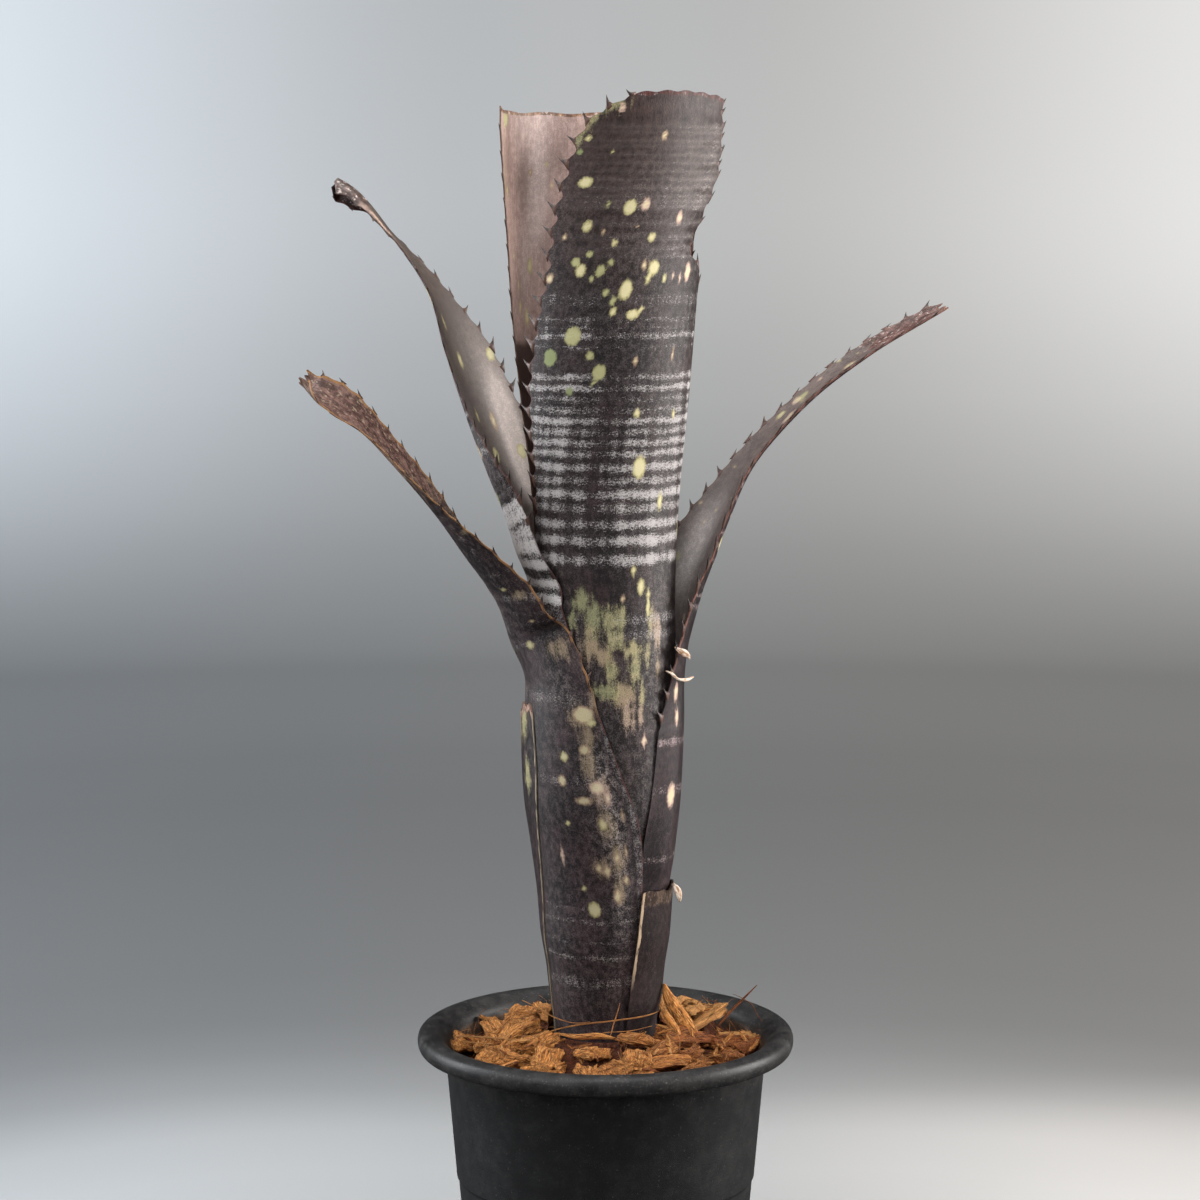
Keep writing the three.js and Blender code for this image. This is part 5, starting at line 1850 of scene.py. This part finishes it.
def one_splinter():
    length, width, height = SPLINTER
    corners = []
    for x, slim in ((-0.5, 0.35), (-0.2, 1.0), (0.25, 0.8), (0.5, 0.15)):
        for y, z in ((-0.5, -0.5), (0.5, -0.4), (0.35, 0.5), (-0.4, 0.35)):
            corners.append([x * length, y * width * slim, z * height * slim])
    piece = new_object("splinter", corners, tube_faces(4, 4), smooth=False)
    point_outwards(piece.data)
    store(piece.data, "chip_place", corners, "FLOAT_VECTOR")
    return piece


fibre_path = []
for step in range(7):
    reach = step / 6 - 0.5
    bow = 1.3 * math.sin(5 * reach + 1)
    lift = 0.4 + 2.4 * reach**2 + 0.5 * math.sin(9 * reach)
    half = FIBRE_RADIUS * (1.2 - 1.6 * abs(reach))
    fibre_path.append(([FIBRE_LENGTH * reach, bow, lift], half))
splinter = one_splinter()
fibre = threads_object("fibre", [fibre_path], FIBRE_RADIUS, FIBRE_SIDES, steps=2)
print("splinter", len(splinter.data.polygons), "faces, fibre", len(fibre.data.polygons), "faces")

# %% Litter, with Geometry Nodes
LITTER_INPUTS = [
    GEOMETRY_IN,
    ("Piece", "Object", None),
    ("Material", "Material", None),
    ("Density", "Float", 20000.0),
    ("Smallest", "Float", 0.5),
    ("Largest", "Float", 1.2),
    ("Tip", "Float", 0.4),
    ("Seed", "Int", 1),
]


def litter_tree():
    tree, given, result = new_group("husk litter", "GeometryNodeTree", LITTER_INPUTS, [GEOMETRY_OUT])

    def chance(kind, low, high, number):
        return random_value(tree, kind, low, high, calc(tree, "ADD", given["Seed"], number))

    def vector(tip, turn):
        return node(tree, "ShaderNodeCombineXYZ", {0: tip, 1: tip, 2: turn}).outputs[0]

    normal = node(tree, "GeometryNodeInputNormal").outputs[0]
    upward = node(tree, "ShaderNodeSeparateXYZ", {0: normal}).outputs["Z"]
    ground = {
        "Mesh": given["Geometry"],
        "Selection": calc(tree, "GREATER_THAN", upward, 0.35),
        "Density": given["Density"],
        "Seed": given["Seed"],
    }
    points = node(tree, "GeometryNodeDistributePointsOnFaces", ground)
    low = vector(product(tree, given["Tip"], -1.0), -math.pi)
    angles = chance("FLOAT_VECTOR", low, vector(given["Tip"], math.pi), 1)
    turn = node(tree, "FunctionNodeEulerToRotation", {0: angles}).outputs[0]
    turns = {"Rotation": points.outputs["Rotation"], "Rotate By": turn}
    turned = node(tree, "FunctionNodeRotateRotation", turns, rotation_space="LOCAL")
    piece = node(tree, "GeometryNodeObjectInfo", {"Object": given["Piece"]})
    copies = {
        "Points": points.outputs["Points"],
        "Instance": piece.outputs["Geometry"],
        "Rotation": turned.outputs[0],
        "Scale": chance("FLOAT", given["Smallest"], given["Largest"], 2),
    }
    placed = node(tree, "GeometryNodeInstanceOnPoints", copies)
    shade = {
        "Geometry": placed.outputs[0],
        "Name": "chip_shade",
        "Value": chance("FLOAT", 0.0, 1.0, 3),
    }
    shaded = node(
        tree, "GeometryNodeStoreNamedAttribute", shade, domain="INSTANCE", data_type="FLOAT"
    )
    finish_geometry(tree, shaded.outputs[0], given["Material"], result)
    return tree


husk_litter = litter_tree()
# copies to a square metre, the smallest and the largest, and how far they tip in radians
LITTER = [
    ("husk_splinters", splinter, chips, 34000.0, 0.3, 1.25, 0.5),
    ("bed_splinters", splinter, bed, 9000.0, 0.6, 1.6, 0.6),
    ("husk_fibres", fibre, chips, 40000.0, 0.3, 1.1, 0.5),
]
FIRST_SEED = 4
for seed, (name, piece, ground, density, smallest, largest, tip) in enumerate(LITTER, FIRST_SEED):
    litter = grow(
        ground, husk_litter, name, Piece=piece, Material=chip_material, Density=density,
        Smallest=smallest, Largest=largest, Tip=tip, Seed=seed,
    )
    keep_in_pot(litter)
    finish_piece(litter, "husk")
bpy.data.objects.remove(splinter)
bpy.data.objects.remove(fibre)
finish_piece(chips, "husk")

# %% [markdown]
# A few long threads are placed where the front shows them: thin roots laid across the
# stem's foot, a straw, a dark twig by the wall, and a frayed sliver that leans on the stem. Each
# path is given in pixels of the front picture, with the depth at which it lies.

# %% Long threads
ROOTS = [
    [(522, 1000, 4, 0.1), (540, 1009, -6, 0.16), (556, 1018, -12, 0.16), (574, 1023, -14, 0.14),
     (590, 1022, -14.5, 0.1)],
    [(530, 1040, -18, 0.12), (552, 1031, -15, 0.22), (578, 1025, -15, 0.26), (612, 1021, -15, 0.24),
     (645, 1016, -12, 0.24), (662, 1010, -6, 0.12)],
    [(620, 1003, -16, 0.08), (617, 1014, -16, 0.16), (613, 1026, -16, 0.2), (610, 1038, -17, 0.16)],
    [(585, 1040, -19, 0.1), (604, 1033, -18, 0.16), (630, 1031, -17, 0.16), (652, 1026, -14, 0.1)],
]
STRAWS = [
    [(456, 1036, -8, 0.15), (478, 1037, -10, 0.3), (505, 1039, -12, 0.3), (532, 1042, -14, 0.12)],
    [(462, 1041, -12, 0.1), (490, 1044, -14, 0.2), (520, 1043, -15, 0.1)],
]
TWIGS = [
    [(757, 985, 18, 0.12), (748, 994, 17, 0.3), (738, 1004, 16, 0.42), (728, 1014, 14, 0.5),
     (718, 1026, 12, 0.3)],
    [(733, 994, 14, 0.06), (742, 998, 15, 0.1), (752, 1005, 16, 0.1), (758, 1016, 15, 0.1),
     (763, 1022, 14, 0.06)],
    [(700, 998, 20, 0.06), (712, 1001, 19, 0.1), (724, 1008, 17, 0.1), (730, 1020, 14, 0.06)],
    [(486, 1008, 16, 0.06), (479, 1016, 13, 0.1), (478, 1026, 8, 0.1), (470, 1032, 4, 0.06)],
]
SLIVERS = [
    [(664, 984, 1, 0.5), (668, 996, -1, 1.7), (676, 1010, -3, 2.3), (688, 1026, -6, 2.2),
     (698, 1036, -8, 0.8)],
    [(660, 1004, -6, 0.4), (668, 1018, -9, 1.3), (676, 1030, -11, 1.2), (682, 1042, -12, 0.4)],
    [(560, 1034, -17, 0.3), (578, 1037, -19, 0.9), (598, 1036, -19, 1.0), (616, 1039, -19, 0.4)],
]


thread_kinds = [
    ("roots", ROOTS, 0.3, 0.55), ("straws", STRAWS, 0.2, 1.0), ("twigs", TWIGS, 0.5, 0.0),
    ("slivers", SLIVERS, 0.9, 0.6),
]
for name, paths, flat, shade in thread_kinds:
    threads = threads_object(name, seen_paths(paths), flat, 10 if name == "slivers" else 6)
    store(threads.data, "chip_shade", [shade] * len(threads.data.vertices))
    threads.data.materials.append(chip_material)
    finish_piece(threads, "husk")

# %% [markdown]
# ## Crown
# The short stem inside the leaf bases keeps its CAD solid. Only its foot can be seen, from above
# between the leaves, so it gets a pale green, fibrous skin.

# %% Crown material
def crown_material():
    material, tree, shader = new_material("crown_skin", Specular_IOR_Level=0.4)
    fibres = noise(tree, stretched(tree, object_place(tree), (900, 900, 90)), detail=4)
    light = ramp_up(tree, fibres, 0.35, 0.7)
    tone = blend_colours(tree, light, (0.10, 0.11, 0.04), (0.30, 0.30, 0.13))
    rough = scaled(tree, fibres, 0.3, 0.4)
    finish_shader(tree, shader, tone, rough, fibres, 0.0002)
    return material


crown = bpy.data.objects["crown"]
crown.data.materials.clear()
crown.data.materials.append(crown_material())
print("crown:", crown.data.materials[0].name)

# %% [markdown]
# ## Floor and light
# The plant stands in a round, pale sweep: a floor that curves up into a wall. Two strong soft
# boxes at the sides give the dark skin a bright streak near each edge. Those from the front and
# above are weaker, so that its middle stays dark. The sweep's greys are painted light and shade:
# graded with the distance over the floor and up the wall, with a painted lit patch on the right
# near the plant, and a painted glow high up and towards the sides. The sweep shows these tones to
# the camera only, and throws hardly any light on the plant.

# %% Sweep
SWEEP_FLOOR = 1500.0
SWEEP_BEND = 700.0
SWEEP_HEIGHT = 2600.0
SWEEP_DROP = 0.3
SWEEP_SIDES = 96
BEND_STEPS = 12


def sweep_object():
    profile = [(r, 0.0) for r in (200, 500, 900, SWEEP_FLOOR)]
    for i in range(1, BEND_STEPS + 1):
        turn = i / BEND_STEPS * math.pi / 2
        profile.append((SWEEP_FLOOR + SWEEP_BEND * math.sin(turn), SWEEP_BEND * (1 - math.cos(turn))))
    profile.append((SWEEP_FLOOR + SWEEP_BEND, SWEEP_HEIGHT))
    rings = [ring_at(r, z - SWEEP_DROP, SWEEP_SIDES) for r, z in profile]
    vertices = np.concatenate([[[0, 0, -SWEEP_DROP]]] + rings)
    faces = [[0, 1 + j, 1 + (j + 1) % SWEEP_SIDES] for j in range(SWEEP_SIDES)]
    for i in range(len(rings) - 1):
        low, high = 1 + i * SWEEP_SIDES, 1 + (i + 1) * SWEEP_SIDES
        for j in range(SWEEP_SIDES):
            k = (j + 1) % SWEEP_SIDES
            faces.append([low + j, high + j, high + k, low + k])
    return new_object("sweep", vertices, faces)


# painted light and shade on the paper: its grey by the distance out over the floor and up the wall, in
# metres
SWEEP_PAINTED_TONES = [
    (0.0, 0.30), (0.17, 0.30), (0.22, 0.27), (0.28, 0.188), (0.34, 0.146), (0.40, 0.126),
    (0.50, 0.123), (0.66, 0.132), (0.80, 0.145), (0.95, 0.167), (1.11, 0.208), (1.33, 0.295),
    (1.57, 0.39), (1.72, 0.416), (1.84, 0.458), (1.95, 0.523), (2.15, 0.634),
]
RAMP_METRES = 4.0


def painted_tone_ramp(tree, reach):
    share = product(tree, reach, 1 / RAMP_METRES)
    made = node(tree, "ShaderNodeValToRGB", {"Fac": share})
    elements = made.color_ramp.elements
    while len(elements) < len(SWEEP_PAINTED_TONES):
        elements.new(0.5)
    for element, (distance, grey) in zip(elements, SWEEP_PAINTED_TONES):
        element.position = distance / RAMP_METRES
        element.color = (grey, grey, grey, 1)
    return made.outputs["Color"]


def paper_material():
    material, tree, shader = new_material("sweep_paper", Specular_IOR_Level=0.1, Roughness=0.95)
    place = object_place(tree)
    side, back, height = node(tree, "ShaderNodeSeparateXYZ", {"Vector": place}).outputs
    out = from_axis(tree, place)
    aside = calc(tree, "ABSOLUTE", side)
    near = product(tree, ramp_up(tree, out, 0.7, 0.2), -0.4)
    reach = scaled(tree, near, aside, calc(tree, "ADD", out, height))
    tint = blend_colours(tree, ramp_up(tree, side, -0.6, 0.35), (0.92, 1, 1.08), (1.01, 1, 0.98))
    # The paper's grey is painted light and shade, graded with the distance over the floor and up the
    # wall.
    paper = filtered(tree, painted_tone_ramp(tree, reach), tint)
    # A painted lit patch on the right side, near the plant.
    lit_side = product(tree, ramp_up(tree, side, 0.0, 0.2), 0.3)
    lit_side = product(tree, lit_side, ramp_up(tree, back, 0.33, 0.22))
    paper = blend_colours(tree, lit_side, paper, (0.52, 0.49, 0.47))
    seen = node(tree, "ShaderNodeLightPath").outputs["Is Camera Ray"]
    put(tree, shader.inputs["Base Color"], blend_colours(tree, seen, (0.03, 0.03, 0.03), paper))
    # A painted glow high up the wall and towards the sides, for the camera only.
    edge_glow = product(tree, ramp_up(tree, aside, 0.1, 0.75), ramp_up(tree, reach, 1.5, 2.4))
    glow = product(tree, ramp_up(tree, reach, 2.1, 2.5), 0.11)
    glow = product(tree, scaled(tree, edge_glow, 0.36, glow), seen)
    put(tree, shader.inputs["Emission Color"], blend_colours(tree, glow, (0, 0, 0), tint))
    put(tree, shader.inputs["Emission Strength"], 1.0)
    return material


sweep = sweep_object()
sweep.data.materials.append(paper_material())
print("sweep:", len(sweep.data.polygons), "faces")

# %% Lights
bpy.context.scene.view_settings.view_transform = "Standard"


def soft_box(name, place, aim, width, height, power, colour=(1, 1, 1)):
    data = bpy.data.lights.new(name, "AREA")
    data.shape = "RECTANGLE"
    data.size = width * MM
    data.size_y = height * MM
    data.energy = power
    data.color = colour
    lamp = placed_object(name, data)
    lamp.location = np.array(place) * MM
    away = mathutils.Vector(place) - mathutils.Vector(aim)
    lamp.rotation_euler = away.to_track_quat("Z", "Y").to_euler()
    lamp.visible_camera = False


soft_box("front_fill", (-700, -950, 800), (0, 0, 250), 600, 800, 11, (0.97, 0.98, 1))
soft_box("camera_fill", (150, -1300, 450), (0, 0, 220), 900, 700, 2)
soft_box("left_box", (-1150, 200, 500), (0, 0, 220), 500, 1000, 22, (0.93, 0.97, 1))
soft_box("right_box", (1150, 110, 420), (0, 0, 220), 500, 800, 28, (1, 0.97, 0.94))
soft_box("right_fill", (900, -800, 500), (0, 0, 220), 400, 700, 5, (1, 0.97, 0.94))
soft_box("top_box", (0, 200, 1500), (0, 0, 200), 700, 700, 10)
soft_box("top_front", (50, -550, 1350), (0, 0, 300), 500, 500, 10)

world = bpy.data.worlds.new("room")
world.use_nodes = True
room = world.node_tree
seen = node(room, "ShaderNodeLightPath").outputs["Is Camera Ray"]
background = room.nodes["Background"].inputs
put(room, background["Color"], (0.9, 0.95, 1))
put(room, background["Strength"], scaled(room, seen, 0.55, 0.1))
bpy.context.scene.world = world
